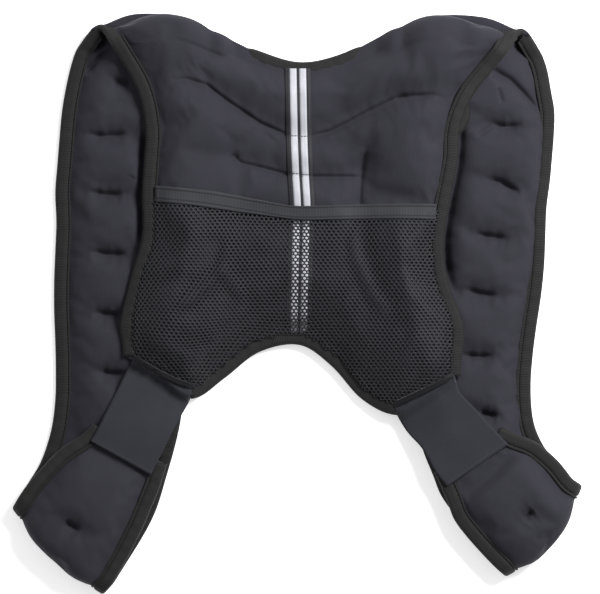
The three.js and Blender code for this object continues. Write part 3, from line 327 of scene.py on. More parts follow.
def backSheet(spacing):  # shoulders that roll over, neckline, body and bottom arch
    columns = int(round(vest["backAcross"] / spacing))
    shares = np.linspace(*vest["middleColumns"], columns)
    shares = np.concatenate([vest["leftColumns"], shares, vest["rightColumns"]])
    third, twoThirds = vest["flangeColumns"]
    curves = []
    for row in backRows:
        stations = np.array(row[3])
        places = stations[:, 1:3] * [vest["width"], vest["length"]]
        curves.append((stations[:, 0], places))

    def at(k, share):
        return throughKnots(curves[k][0], curves[k][1], share)

    def toward(row, inner):
        way = at(inner, shares) - at(row, shares)
        return way / np.linalg.norm(way, axis=1)[:, None]

    def reach(row, way):
        run = at(row, np.minimum(1, shares + 0.01)) - at(row, np.maximum(0, shares - 0.01))
        run /= np.linalg.norm(run, axis=1)[:, None]
        lean = np.abs(run[:, 0] * way[:, 1] - run[:, 1] * way[:, 0])
        return vest["flange"] / np.maximum(vest["backLean"], lean)

    last = len(backRows) - 1
    outer = np.minimum(shares, 1 - shares)
    seamShare = vest["neckShare"] - vest["shoulderShare"]
    rolled = 1 - smooth((outer - vest["shoulderShare"]) / seamShare)
    down, up = toward(0, 1), toward(last, last - 1)
    topReach, bottomReach = reach(0, down), reach(last, up)
    grid, angles, rowPads, rowPerch = [], [], [], []
    turns = 10  # the shoulder turns over in most of them and then runs on flat
    for k in range(turns + 1):
        part = k / turns
        turn = min(math.pi / 2, part * math.pi / 2 * vest["turnRate"])
        roll = 1 - math.cos(turn)
        if part >= vest["turnShare"]:
            roll = 1 + vest["runOn"] * (part - vest["turnShare"])
        roll = vest["foldRadius"] * roll
        straight = topReach * part
        grid.append(at(0, shares) + down * (straight + (roll - straight) * rolled)[:, None])
        angles.append(turn)
        rowPads.append(backRows[0][1])
        rowPerch.append(backRows[0][2])
    topFlange = len(grid) - 1
    control = [grid[-1]] + [at(k, shares) for k in range(1, last)]
    control.append(at(last, shares) + up * bottomReach[:, None])
    extras = [[backRows[k][1], backRows[k][2]] for k in range(last + 1)]
    extras[-1][0] = backRows[last - 1][1]
    middle = len(shares) // 2
    quarter = middle // 2
    stack = np.array([[*line.ravel(), *extra] for line, extra in zip(control, extras)])
    centres = np.array([(line[middle] + line[quarter] + line[middle + quarter]) / 3
                        for line in control])
    knots = walked(centres)
    count = int(round(knots[-1] / spacing)) + 1
    body = throughKnots(knots, stack, np.linspace(0, knots[-1], count))
    for row in body[1:]:
        grid.append(row[:-2].reshape(-1, 2))
        angles.append(None)
        rowPads.append(row[-2])
        rowPerch.append(row[-1])
    bottomFlange = len(grid) - 1
    for part in (twoThirds, third, 0):
        grid.append(at(last, shares) + up * (bottomReach * part)[:, None])
        angles.append(None)
        rowPads.append(backRows[last - 1][1])
        rowPerch.append(backRows[last][2])

    flat = np.array(grid)
    fromLeft = acrossRows(flat)
    inset = np.minimum(fromLeft, fromLeft[:, -1:] - fromLeft) - vest["flange"]
    drops = np.linalg.norm(np.diff(flat, axis=0), axis=2)
    neckInset = np.zeros(flat.shape[:2])
    neckInset[topFlange + 1:] = np.cumsum(drops[topFlange:], axis=0)
    archInset = np.zeros(flat.shape[:2])
    archInset[:bottomFlange] = np.cumsum(drops[:bottomFlange][::-1], axis=0)[::-1]
    leftNeck = np.argmin(np.abs(shares - vest["shoulderShare"]))
    rightNeck = np.argmin(np.abs(shares - 1 + vest["shoulderShare"]))
    points, normals, depths = [], [], []
    for i, row in enumerate(flat):
        toNeck = np.where(shares < 0.5, fromLeft[i, leftNeck] - fromLeft[i],
                          fromLeft[i] - fromLeft[i, rightNeck])
        seamRun = np.maximum(0, np.abs(toNeck) - vest["flange"])
        neckPuff = np.maximum(puff(neckInset[i]), rolled * puff(seamRun + neckInset[i] * 0.5))
        rise = puff(inset[i]) * neckPuff * puff(archInset[i])
        pad = max(vest["rim"], vest["pad"] * rowPads[i])
        depth = vest["rim"] + (pad - vest["rim"]) * rise
        sag = smooth((outer - rowPerch[i] * 0.3) / (rowPerch[i] * 1.7))
        base = vest["backSideBase"] + (vest["backMiddleBase"] - vest["backSideBase"]) * sag
        height = base + depth / 2
        normal = np.zeros((len(shares), 3))
        normal[:, 2] = 1
        if angles[i] is not None:
            seam = vest["seamHeight"] + vest["seamGap"]
            side = seam + (vest["backSideBase"] + depth / 2 - seam) * math.sin(angles[i])
            neck = vest["neckHeight"] + vest["neckRise"] * min(1, i / topFlange)
            height = neck + (side - neck) * rolled
            lean = (math.cos(angles[i]) * rolled)[:, None]
            normal[:, 0:2] = -down * lean
            normal[:, 2] = np.sqrt(np.maximum(0, 1 - lean[:, 0] ** 2))
        else:
            settle = smooth(neckInset[i] / vest["neckRun"])
            neck = vest["neckHeight"] + vest["neckRise"] + (depth - vest["rim"]) / 2
            height = height + (neck - height) * (1 - settle) * (1 - rolled)
        points.append(np.column_stack([row, height]))
        normals.append(normal)
        depths.append(depth)
    return {"points": np.array(points), "normals": np.array(normals), "depths": np.array(depths),
            "shares": shares, "topFlange": topFlange, "bottomFlange": bottomFlange,
            "insets": np.minimum(np.minimum(inset, archInset),
                                 neckInset + vest["clear"] * rolled)}


def cleanNormals(piece):
    bpy.ops.object.select_all(action="DESELECT")
    piece.select_set(True)
    bpy.context.view_layer.objects.active = piece
    bpy.ops.object.mode_set(mode="EDIT")
    bpy.ops.mesh.select_all(action="SELECT")
    bpy.ops.mesh.normals_make_consistent(inside=False)
    bpy.ops.object.mode_set(mode="OBJECT")
    piece.select_set(False)


def meshPiece(name, points, faces, uvs):  # points in metres, uvs per point in metres
    mesh = bpy.data.meshes.new(name)
    mesh.from_pydata([tuple(p) for p in points], [], faces)
    mesh.update()
    layer = mesh.uv_layers.new(name="cloth")
    loops = np.zeros(len(mesh.loops), int)
    mesh.loops.foreach_get("vertex_index", loops)
    layer.data.foreach_set("uv", np.asarray(uvs, float)[loops].ravel())
    piece = bpy.data.objects.new(name, mesh)
    bpy.context.collection.objects.link(piece)
    mesh.polygons.foreach_set("use_smooth", [True] * len(mesh.polygons))
    return piece


def applyModifier(piece, modifier):
    bpy.context.view_layer.objects.active = piece
    piece.select_set(True)
    bpy.ops.object.modifier_apply(modifier=modifier.name)
    piece.select_set(False)


def subdivide(piece, levels):
    modifier = piece.modifiers.new("Smooth", "SUBSURF")
    modifier.levels = levels
    modifier.render_levels = levels
    applyModifier(piece, modifier)


def thicken(piece, thickness, offset):  # gives the area it had as a sheet
    area = sum(face.area for face in piece.data.polygons)
    modifier = piece.modifiers.new("Thickness", "SOLIDIFY")
    modifier.thickness = thickness
    modifier.offset = offset
    applyModifier(piece, modifier)
    return area


def turnUp(piece):
    if piece.data.polygons[0].normal.z < 0:
        piece.data.flip_normals()


def readVertices(mesh, what):
    values = np.zeros(len(mesh.vertices) * 3)
    mesh.vertices.foreach_get(what, values)
    return values.reshape(-1, 3)


def writePoints(mesh, points):
    mesh.vertices.foreach_set("co", np.asarray(points, float).ravel())
    mesh.update()


def gridFaces(rows, columns):
    starts = [i * columns + j for i in range(rows - 1) for j in range(columns - 1)]
    return [(v, v + columns, v + columns + 1, v + 1) for v in starts]


def nearLine(plan, line):  # distance to a line of points, and the share of its length
    best = np.full(len(plan), 1e9)
    share = np.zeros(len(plan))
    line = np.asarray(line, float)
    lengths = walked(line)
    for k in range(len(line) - 1):
        way = line[k + 1] - line[k]
        long = np.dot(way, way)
        t = np.clip(((plan - line[k]) @ way) / long, 0, 1)
        gap = np.linalg.norm(plan - (line[k] + t[:, None] * way), axis=1)
        closer = gap < best
        best = np.where(closer, gap, best)
        share = np.where(closer, (lengths[k] + t * math.sqrt(long)) / lengths[-1], share)
    return best, share


swell = {
    "outward": 0.2,  # faces that look up more than this swell in full
    "lowest": 0.0003,
    "pinReach": 3.2,  # how near a stitched line the cloth is held, millimetres
    "quality": 5,
    "mass": 0.3,
    "stretch": 12,
    "shear": 5,
    "bend": 0.6,
    "pressure": 3.2,
    "frames": 20,
    "spare": -0.018,  # cloth to spare, as a share
    "cap": 0.0045,  # the most that a point may move, metres
    "under": 0.25,  # share of the movement on the lower side
}


def padPiece(name, sheet, pins):  # closed padded solid from a sheet of middle points
    half = sheet["normals"] * (sheet["depths"] / 2)[:, :, None]
    rows, columns = sheet["depths"].shape
    upper = sheet["points"] + half
    lower = sheet["points"] - half
    points = np.concatenate([upper.reshape(-1, 3), lower.reshape(-1, 3)])
    faces = gridFaces(rows, columns)
    under = rows * columns
    faces += [tuple(reversed([under + v for v in face])) for face in faces]
    rim = list(range(columns))
    rim += [i * columns + columns - 1 for i in range(1, rows)]
    rim += [(rows - 1) * columns + j for j in range(columns - 2, -1, -1)]
    rim += [i * columns for i in range(rows - 2, 0, -1)]
    for a, b in zip(rim, rim[1:] + rim[:1]):
        faces.append((a, b, under + b, under + a))
    down = walked(sheet["points"][:, columns // 2]) / 1000
    across = acrossRows(sheet["points"]) / 1000
    across -= across[:, columns // 2][:, None]
    uvs = np.stack([across, np.repeat(down[:, None], columns, axis=1)], axis=2).reshape(-1, 2)
    piece = meshPiece(name, toFrame(points), faces, np.concatenate([uvs, uvs]))
    cleanNormals(piece)
    held = np.where(sheet["insets"] <= 1, 1.0, 0.0)
    held[0] = 1
    plan = sheet["points"][:, :, 0:2].reshape(-1, 2)
    for line in pins:
        gap, _ = nearLine(plan, line)
        near = gap < swell["pinReach"]
        held = np.maximum(held, near.astype(float).reshape(held.shape))
    group = piece.vertex_groups.new(name="held")
    for index in np.nonzero(held.ravel())[0]:
        group.add([int(index), int(index) + under], 1.0, "REPLACE")
    return piece


def swellPad(piece):  # lets the padding push the cloth out between its seams
    start = readVertices(piece.data, "co")
    facing = readVertices(piece.data, "normal")[:, 2]
    modifier = piece.modifiers.new("Swell", "CLOTH")
    cloth = modifier.settings
    cloth.quality = swell["quality"]
    cloth.mass = swell["mass"]
    cloth.tension_stiffness = swell["stretch"]
    cloth.compression_stiffness = swell["stretch"]
    cloth.shear_stiffness = swell["shear"]
    cloth.bending_stiffness = swell["bend"]
    cloth.use_pressure = True
    cloth.uniform_pressure_force = swell["pressure"]
    cloth.shrink_min = swell["spare"]
    cloth.vertex_group_mass = "held"
    cloth.effector_weights.gravity = 0
    scene = bpy.context.scene
    for step in range(1, swell["frames"] + 1):
        scene.frame_set(step)
    shaped = piece.evaluated_get(bpy.context.evaluated_depsgraph_get())
    moved = readVertices(shaped.data, "co") - start
    piece.modifiers.remove(modifier)
    scene.frame_set(1)
    far = np.linalg.norm(moved, axis=1)
    moved *= (np.minimum(far, swell["cap"]) / np.maximum(far, 1e-9))[:, None]
    moved *= np.where(facing > swell["outward"], 1, swell["under"])[:, None]
    shaped = start + moved
    shaped[:, 2] = np.maximum(shaped[:, 2], np.minimum(start[:, 2], swell["lowest"]))
    writePoints(piece.data, shaped)
    print(piece.name, "swelled", round(float(np.percentile(far, 90)) * 1000, 1), "mm")


# How lines are pressed into the padding, in millimetres: the line itself is deep over a narrow
# width, the padding round it broad over a wide one. Fade is the share of the line over which each
# end runs out, ends is what is left there, and below moves the wide hollow down the vest.
pressing = {
    "tuck": {"deep": 4.6, "narrow": 2.4, "wide": 8.5, "broad": 4.8, "fade": 0.35, "below": 2.0},
    "tuckUnder": {"deep": 2.0, "narrow": 2.0, "wide": 9, "broad": 0.6},
    "wingTuck": {"deep": 4.4, "narrow": 2.4, "wide": 9, "broad": 4.4, "fade": 0.35, "below": 1.5},
    "gap": {"deep": 5.0, "narrow": 3.2, "wide": 8.0, "broad": 3.0, "fade": 0.15},
    "upperLeft": {"deep": 3.8, "narrow": 2.1, "wide": 12, "broad": 5.2, "fade": 0.2,
                  "below": -3.0},
    "upperRight": {"deep": 4.2, "narrow": 2.2, "wide": 12, "broad": 5.4, "fade": 0.2,
                   "below": -3.0},
    "lower": {"deep": 3.0, "narrow": 1.9, "wide": 10, "broad": 3.4, "fade": 0.1, "ends": 0.4,
              "below": -2.0},
    "vertical": {"deep": 2.6, "narrow": 2.4, "wide": 9, "broad": 3.0, "fade": 0.12, "ends": 0.4},
    "dimples": {"deep": 2.4, "narrow": 3.6, "wide": 8, "broad": 1.6, "fade": 0.4, "ends": 0.2},
    "hollows": {"deep": 2.6, "narrow": 5.0, "wide": 12, "broad": 3.4, "fade": 0.3, "ends": 0.1},
    "backUnder": {"deep": 1.4, "narrow": 2.2, "wide": 8, "broad": 0.6},
}


def pressLine(points, facing, line, where, deep, narrow, wide, broad, fade=0.16, ends=0.0,
              below=0.0):
    plan = toPlan(points)
    gap, share = nearLine(plan, line)
    side, _ = nearLine(plan + [0, below], line)
    along = smooth(np.minimum(share, 1 - share) / fade) * (1 - ends) + ends
    sink = deep * along * np.exp(-(gap / narrow) ** 2)
    sink += broad * (0.45 + 0.55 * along) * np.exp(-(side / wide) ** 2)
    points[:, 2] -= where * np.sign(facing) * sink / 1000


def pinch(points, where, line, size):  # short folds that run away from a stitched line
    gap, share = nearLine(toPlan(points), line)
    length = walked(np.asarray(line, float))[-1]
    wave = np.sin(share * length * 2 * np.pi / quilting["foldPitch"] + line[0][0])
    beside = np.exp(-((gap - quilting["foldReach"]) / quilting["foldReach"]) ** 2)
    points[:, 2] += where * size * wave * beside / 1000


# Stitched lines and folds, in millimetres in plan.
quilting = {
    "frontFacing": 0.25,  # least share of up or down where a side is pressed
    "backFacing": 0.2,
    "facingRun": 0.3,
    "spacing": 4.6,
    "levels": 2,
    "layerHeight": 0.0205,  # metres, between the lower layer of a front and its folded end
    "frontFolds": 0.25,
    "backFolds": 0.14,
    "foldPitch": 9.0,
    "foldReach": 4.0,
    "leftTucks": [
        [(-163, 198), (-154, 194), (-143, 193)], [(-186, 149), (-169, 147), (-147, 149)],
        [(-184, 99), (-169, 96), (-151, 96)], [(-182, 46), (-164, 43.5), (-147, 44)],
        [(-180, -7), (-164, -9), (-150, -9)], [(-176, -58), (-162, -61), (-148, -60)],
    ],
    "rightTucks": [
        [(166, 159), (182, 155), (198, 157)], [(163, 110), (178, 107), (196, 96)],
        [(153, 62), (169, 59), (186, 57)], [(144, 14), (160, 9), (177, 7)],
        [(142, -44), (158, -46), (173, -45)], [(157, -93), (166, -97), (176, -98)],
    ],
    "leftWingTuck": [(-204, -188), (-196, -193), (-188, -197)],
    "rightWingTuck": [(206, -179), (201, -183), (196, -188)],
    # folds at the shoulders: line, then deep, narrow, wide and broad as in the table above
    "creaseFade": 0.25,
    "leftCreases": [([(-187, 200), (-175, 214), (-160, 226)], 4.6, 2.6, 7, 2.6),
                    ([(-178, 231), (-166, 229)], 0.0, 3.0, 8, 5.0)],
    "rightCreases": [([(163, 209), (186, 196), (199, 183), (214, 166)], 5.5, 3.0, 9, 4.0),
                     ([(175, 190), (179, 175)], 1.6, 1.8, 5, 0.8),
                     ([(156, 146), (172, 157)], 1.8, 1.8, 5, 0.7),
                     ([(178, 106), (185, 102), (195, 98)], 0.8, 1.6, 6, 0.6),
                     ([(194, 230), (206, 224)], 0.0, 3.0, 8, 5.0)],
    "upperLeft": [(-115, 188.5), (-106, 194.5), (-96, 195.5), (-79, 190.5), (-62, 177.5),
                   (-32, 157.5), (-9, 147.5), (3, 144.5)],
    "upperRight": [(3, 144.5), (29, 150.5), (64, 168.5), (90, 180.5), (117, 181.5), (132, 179.5)],
    "lower": [(-56, 129), (-49, 123), (-32, 119), (-9, 113), (12, 111), (38, 111), (56, 111)],
    "vertical": [(60, 135), (57, 120), (55, 103), (54, 84)],
    "dimples": [[(-58, 132), (-51, 125)], [(59, 133), (56, 121), (55, 110)],
                [(84, 176.5), (98, 182)]],
    # the padding sinks away beside each armhole: low end, high end, distance out from the edge
    "leftGap": (38, 160, -2.5),
    "rightGap": (-10, 165, 3.5),
    # unevenness of each pad: height, size, seed
    "leftWaves": [(0.3, 34, 11), (0.09, 13, 12)],
    "rightWaves": [(0.3, 34, 23), (0.09, 13, 24)],
    "backWaves": [(0.25, 46, 5), (0.06, 15, 6)],
    # hollows under the net
    "hollows": [[(-90, 8), (-78, 18), (-64, 27)], [(52, 73), (58, 45), (68, 15), (82, -10)],
                [(-66, 84), (-20, 76), (24, 74)]],
}
channels = ("upperLeft", "upperRight", "lower", "vertical")

back = backSheet(quilting["spacing"])
leftFront = frontSheet(leftFrontRows, quilting["spacing"])
rightFront = frontSheet(rightFrontRows, quilting["spacing"])
backPad = padPiece("backPad", back, [quilting[name] for name in channels])
leftPad = padPiece("frontPadLeft", leftFront,
                   quilting["leftTucks"] + [quilting["leftWingTuck"]])
rightPad = padPiece("frontPadRight", rightFront,
                    quilting["rightTucks"] + [quilting["rightWingTuck"]])
for pad in (backPad, leftPad, rightPad):
    swellPad(pad)
    subdivide(pad, quilting["levels"])
print("pads swelled")


def gapLine(side):  # plan line just outside the back's armhole edge
    edge = back["points"][back["topFlange"]:, 0 if side == "left" else -1, 0:2]
    low, high, out = quilting[side + "Gap"]
    edge = edge[(edge[:, 1] > low) & (edge[:, 1] < high)][::3]
    return [(x + out, y) for x, y in edge]


def facingShare(facing, least):
    return smooth((facing - least) / quilting["facingRun"])


def finishFront(pad, side):
    points = readVertices(pad.data, "co")
    facing = readVertices(pad.data, "normal")[:, 2]
    low = points[:, 2] < quilting["layerHeight"]
    inner = facingShare(facing, quilting["frontFacing"]) * low  # shows on the lower layer
    outer = facingShare(-facing, quilting["frontFacing"]) * low
    wing = facingShare(facing, quilting["frontFacing"]) * ~low
    plan = points[:, 0:2] * 1000
    for line in quilting[side + "Tucks"]:
        pressLine(points, facing, line, inner, **pressing["tuck"])
        pressLine(points, facing, line, outer, **pressing["tuckUnder"])
        pinch(points, inner, line, quilting["frontFolds"])
    pressLine(points, facing, quilting[side + "WingTuck"], wing, **pressing["wingTuck"])
    for line, deep, narrow, wide, broad in quilting[side + "Creases"]:
        pressLine(points, facing, line, inner, deep, narrow, wide, broad, quilting["creaseFade"])
    pressLine(points, facing, gapLine(side), inner, **pressing["gap"])
    bumps = uneven(plan[:, 0], plan[:, 1], quilting[side + "Waves"])
    points[:, 2] += (inner + wing) * bumps / 1000
    points[:, 2] = np.maximum(points[:, 2], 0)
    writePoints(pad.data, points)


def finishBack(pad):
    points = readVertices(pad.data, "co")
    facing = readVertices(pad.data, "normal")[:, 2]
    outer = facingShare(facing, quilting["backFacing"])
    inner = facingShare(-facing, quilting["backFacing"])
    plan = points[:, 0:2] * 1000
    for name in channels:
        pressLine(points, facing, quilting[name], outer, **pressing[name])
    for name in ("dimples", "hollows"):
        for line in quilting[name]:
            pressLine(points, facing, line, outer, **pressing[name])
    for name in channels[:3]:
        pressLine(points, facing, quilting[name], inner, **pressing["backUnder"])
        pinch(points, outer, quilting[name], quilting["backFolds"])
    bumps = uneven(plan[:, 0], plan[:, 1], quilting["backWaves"])
    points[:, 2] += outer * bumps / 1000
    writePoints(pad.data, points)


finishFront(leftPad, "left")
finishFront(rightPad, "right")
finishBack(backPad)
print("pads stitched")


def surfaceOf(piece):
    mesh = piece.data
    points = [Vector(p) for p in readVertices(mesh, "co")]
    return BVHTree.FromPolygons(points, [tuple(face.vertices) for face in mesh.polygons])


backSkin = surfaceOf(backPad)


def topOf(x, y):  # height of the back panel's outer face, millimetres in plan
    start = Vector(toFrame(np.array([x, y, 90.0])))
    hit = backSkin.ray_cast(start, Vector((0, 0, -1)))[0]
    return hit.z * 1000 if hit else None


# Evened height over the back, for what is stretched across its hollows.
easing = {"step": 4.0, "left": -178.0, "bottom": -108.0, "columns": 96, "rows": 94,
          "passes": 10, "beside": 12}


def easedGrid():
    heights = np.zeros((easing["rows"], easing["columns"]))
    for i in range(easing["rows"]):
        for j in range(easing["columns"]):
            height = topOf(easing["left"] + j * easing["step"],
                           easing["bottom"] + i * easing["step"])
            heights[i, j] = np.nan if height is None else height
    known = ~np.isnan(heights)
    heights[~known] = easing["beside"]
    skin = heights.copy()
    for _ in range(easing["passes"]):
        padded = np.pad(heights, 1, mode="edge")
        mean = (padded[:-2, 1:-1] + padded[2:, 1:-1] + padded[1:-1, :-2] + padded[1:-1, 2:]) / 4
        heights = np.where(known, np.maximum(skin, mean), heights)
    return heights


eased = easedGrid()


def easedTop(x, y):
    column = np.clip((np.asarray(x) - easing["left"]) / easing["step"], 0, easing["columns"] - 1.01)
    row = np.clip((np.asarray(y) - easing["bottom"]) / easing["step"], 0, easing["rows"] - 1.01)
    i, j = row.astype(int), column.astype(int)
    p, q = row - i, column - j
    return ((1 - p) * ((1 - q) * eased[i, j] + q * eased[i, j + 1])
            + p * ((1 - q) * eased[i + 1, j] + q * eased[i + 1, j + 1]))


# Binding tape folded round the edges.
tape = {
    "lowest": 0.0002,  # metres over the surface
    "reach": 11.9,
    "rise": 3.1,
    "nose": 1.6,
    "noseRoom": 0.1,
    # half of its profile, from the sewn edge to the nose, as shares of reach and rise
    "profile": [(1.0, 0.84), (0.95, 1.06), (0.88, 1.08), (0.82, 0.9), (0.785, 0.72),
                (0.74, 0.94), (0.66, 1.06), (0.5, 1.1), (0.38, 1.08), (0.27, 1.03)],
    "swells": [(0.05, 11, 0), (0.04, 23, 1)],  # height, length and start of its unevenness
    "spacing": 2.4,
    "evenings": 3,
    "thickness": 0.0008,
    # how the ends of the neck's tape sink into the shoulder seams
    "tuck": 14.0,
    "tuckIn": 5.0,
    "tuckDown": 4.0,
    # the back's armhole edge is lifted over the padding at the shoulders
    "liftRise": 4.0,
    "liftReach": 16.0,
    "flatFrom": 10,  # first row of a front past the roll of the shoulder
    "crestRow": 6,  # row where the closure edges come out from under it
    "leftApex": ([-173.5, 243.0, 14.5], [0.8, -0.6, 0.0]),  # top of the armhole, way inwards
    "rightApex": ([196.5, 239.5, 14.5], [-0.8, -0.6, 0.0]),
    # a folded end that stands out beside the right armhole
    "endFrom": 174.0,
    "endTo": 146.0,
    "endOut": 6.5,
    "endDown": 2.4,
}


def resample(points, inward, spacing):
    points, inward = np.asarray(points, float), np.asarray(inward, float)
    keep = np.concatenate([[True], np.linalg.norm(np.diff(points, axis=0), axis=1) > 0.2])
    points, inward = points[keep], inward[keep]
    knots = walked(points)
    count = int(round(knots[-1] / spacing)) + 1
    at = np.linspace(0, knots[-1], count)
    return throughKnots(knots, points, at), throughKnots(knots, inward, at)


def tapePiece(name, points, inward, replaced):
    points, inward = resample(points, inward, tape["spacing"])
    for _ in range(tape["evenings"]):
        inward[1:-1] = (inward[:-2] + 2 * inward[1:-1] + inward[2:]) / 4
        points[1:-1] = (points[:-2] + 2 * points[1:-1] + points[2:]) / 4
    along = np.gradient(points, axis=0)
    along /= np.linalg.norm(along, axis=1)[:, None]
    side = inward - along * np.sum(inward * along, axis=1)[:, None]
    side /= np.linalg.norm(side, axis=1)[:, None]
    normal = np.cross(along, side)
    upper = [(r * tape["reach"], h * tape["rise"]) for r, h in tape["profile"]]
    lower = [(reach, -rise) for reach, rise in reversed(upper)]
    radius = tape["rise"] + tape["noseRoom"]
    turns = [math.radians(90 - k * 30) for k in range(7)]
    nose = [(tape["nose"] - radius * math.cos(t), radius * math.sin(t)) for t in turns]
    section = np.array(upper + nose + lower)
    width = walked(section)
    run = walked(points)
    wave = 1
    for height, long, start in tape["swells"]:
        wave = wave + height * np.sin(run * 2 * np.pi / long + start)
    rings = (points[:, None, :] + side[:, None, :] * section[None, :, 0:1]
             + normal[:, None, :] * section[None, :, 1:2] * wave[:, None, None])
    rings = toFrame(rings)
    rings[:, :, 2] = np.maximum(rings[:, :, 2], tape["lowest"])
    count = len(section)
    uvs = np.stack([np.repeat(run[:, None], count, axis=1),
                    np.repeat(width[None, :] - width[-1] / 2, len(points), axis=0)], axis=2) / 1000
    piece = meshPiece(name, rings.reshape(-1, 3), gridFaces(len(points), count),
                      uvs.reshape(-1, 2))
    # faces look away from the core of the tape, and its thickness goes inwards from them
    sample = piece.data.polygons[len(piece.data.polygons) // 2]
    middle = (len(piece.data.polygons) // 2) // (count - 1)
    core = toFrame(points[middle] + side[middle] * tape["nose"])
    if np.dot(np.array(sample.center) - core, np.array(sample.normal)) < 0:
        piece.data.flip_normals()
    area = thicken(piece, tape["thickness"], -1)
    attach(piece, "root")
    if replaced:
        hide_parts(*replaced)
    return piece


def edgeOf(sheet, side, first, last):  # edge points and the way into the cloth
    edge, inside = (0, 3) if side == 0 else (-1, -4)
    points = sheet["points"][first:last, edge]
    inward = sheet["points"][first:last, inside] - points
    return points, inward / np.linalg.norm(inward, axis=1)[:, None]


def joined(*parts):
    return (np.concatenate([np.atleast_2d(part[0]) for part in parts]),
            np.concatenate([np.atleast_2d(part[1]) for part in parts]))


def backwards(part):
    return part[0][::-1], part[1][::-1]


def raisedEdge(side):  # the back's edge, lifted over the padding at the shoulder
    points, inward = edgeOf(back, side, back["topFlange"], None)
    points = points.copy()
    points[:, 2] += tape["liftRise"] * np.exp(-(walked(points) / tape["liftReach"]) ** 2)
    return points, inward


armLeft = joined(backwards(edgeOf(leftFront, 0, tape["flatFrom"], None)), tape["leftApex"],
                 raisedEdge(0))
armRight = joined(backwards(edgeOf(rightFront, 0, tape["flatFrom"], None)), tape["rightApex"],
                  raisedEdge(1))
armTapeLeft = tapePiece("armholeBindingLeft", *armLeft,
                        ["armhole_binding_front_left", "armhole_binding_back_left"])
armTapeRight = tapePiece("armholeBindingRight", *armRight,
                         ["armhole_binding_front_right", "armhole_binding_back_right"])

endPoints, endInward = edgeOf(back, 1, back["topFlange"], None)
endAt = np.nonzero((endPoints[:, 1] < tape["endFrom"]) & (endPoints[:, 1] > tape["endTo"]))[0]
endPoints, endInward = endPoints[endAt].copy(), endInward[endAt]
bulge = np.sin(np.linspace(0, 1, len(endAt)) ** 0.8 * np.pi)
endPoints -= endInward * (bulge * tape["endOut"])[:, None]
endPoints[:, 2] -= tape["endDown"]
tapeEndPiece = tapePiece("foldedTapeEnd", endPoints, endInward, [])


def between(share):  # columns of the back at least that share in from both sides
    return np.nonzero((back["shares"] > share) & (back["shares"] < 1 - share))[0]


neckAt = between(vest["neckShare"])
neckPoints = back["points"][0][neckAt].copy()
neckInward = back["points"][back["topFlange"]][neckAt] - neckPoints
neckInward[:, 2] = 0
neckInward /= np.linalg.norm(neckInward, axis=1)[:, None]
neckRun = walked(neckPoints)
toSeam = 1 - smooth(np.minimum(neckRun, neckRun[-1] - neckRun) / tape["tuck"])
neckPoints += neckInward * toSeam[:, None] * tape["tuckIn"]
neckPoints[:, 2] -= toSeam * tape["tuckDown"]
neckTape = tapePiece("neckBinding", neckPoints, neckInward, ["neckline_binding"])
edgeTapes = [tapePiece(name, *edgeOf(sheet, 1, tape["crestRow"], None), [node])
             for name, sheet, node in (
                 ("frontEdgeBindingLeft", leftFront, "front_edge_binding_left"),
                 ("frontEdgeBindingRight", rightFront, "front_edge_binding_right"))]

archAt = between(vest["archShare"])
archPoints = back["points"][-1][archAt]
archInward = back["points"][back["bottomFlange"]][archAt] - archPoints
archInward /= np.linalg.norm(archInward, axis=1)[:, None]
archTape = tapePiece("archBinding", archPoints, archInward, ["arch_binding"])
print("bindings sewn")


leastWidth = 0.0101  # metres, the least flat width that a sheet may be given


def layRibbon(name, left, right, lift, thickness, columns, spacing, hug=0.0, settle=0):
    # flat ribbon over the back panel between two edge lines, millimetres in plan; hug is how
    # closely it follows the padding, and over settle its ends sink to a quarter of its lift
    left, right = np.asarray(left, float), np.asarray(right, float)
    knots = walked((left + right) / 2)
    count = int(round(knots[-1] / spacing)) + 1
    at = np.linspace(0, knots[-1], count)
    first, second = throughKnots(knots, left, at), throughKnots(knots, right, at)
    shares = np.linspace(0, 1, columns)
    plan = first[:, None, :] + (second - first)[:, None, :] * shares[None, :, None]
    heights = np.zeros(plan.shape[:2])
    for i in range(count):
        for j in range(columns):
            x, y = plan[i, j]
            level = easedTop(x, y)
            skin = topOf(x, y)
            heights[i, j] = level if skin is None else skin * hug + level * (1 - hug)
    toEnd = np.minimum(at, knots[-1] - at)[:, None]
    heights += lift * (1 if settle == 0 else 0.25 + 0.75 * smooth(toEnd / settle))
    points = np.dstack([plan, heights])
    across = acrossRows(points)
    across -= across[:, -1:] / 2
    run = walked(points[:, columns // 2])
    uvs = np.stack([np.repeat(run[:, None], columns, axis=1), across], axis=2) / 1000
    piece = meshPiece(name, toFrame(points).reshape(-1, 3), gridFaces(count, columns),
                      uvs.reshape(-1, 2))
    turnUp(piece)
    area = thicken(piece, thickness / 1000, 1)
    width = float(np.max(across[:, -1] - across[:, 0])) / 1000
    flat = (max(leastWidth, width), run[-1] / 1000)
    return piece, flat, min(area, flat[0] * flat[1])


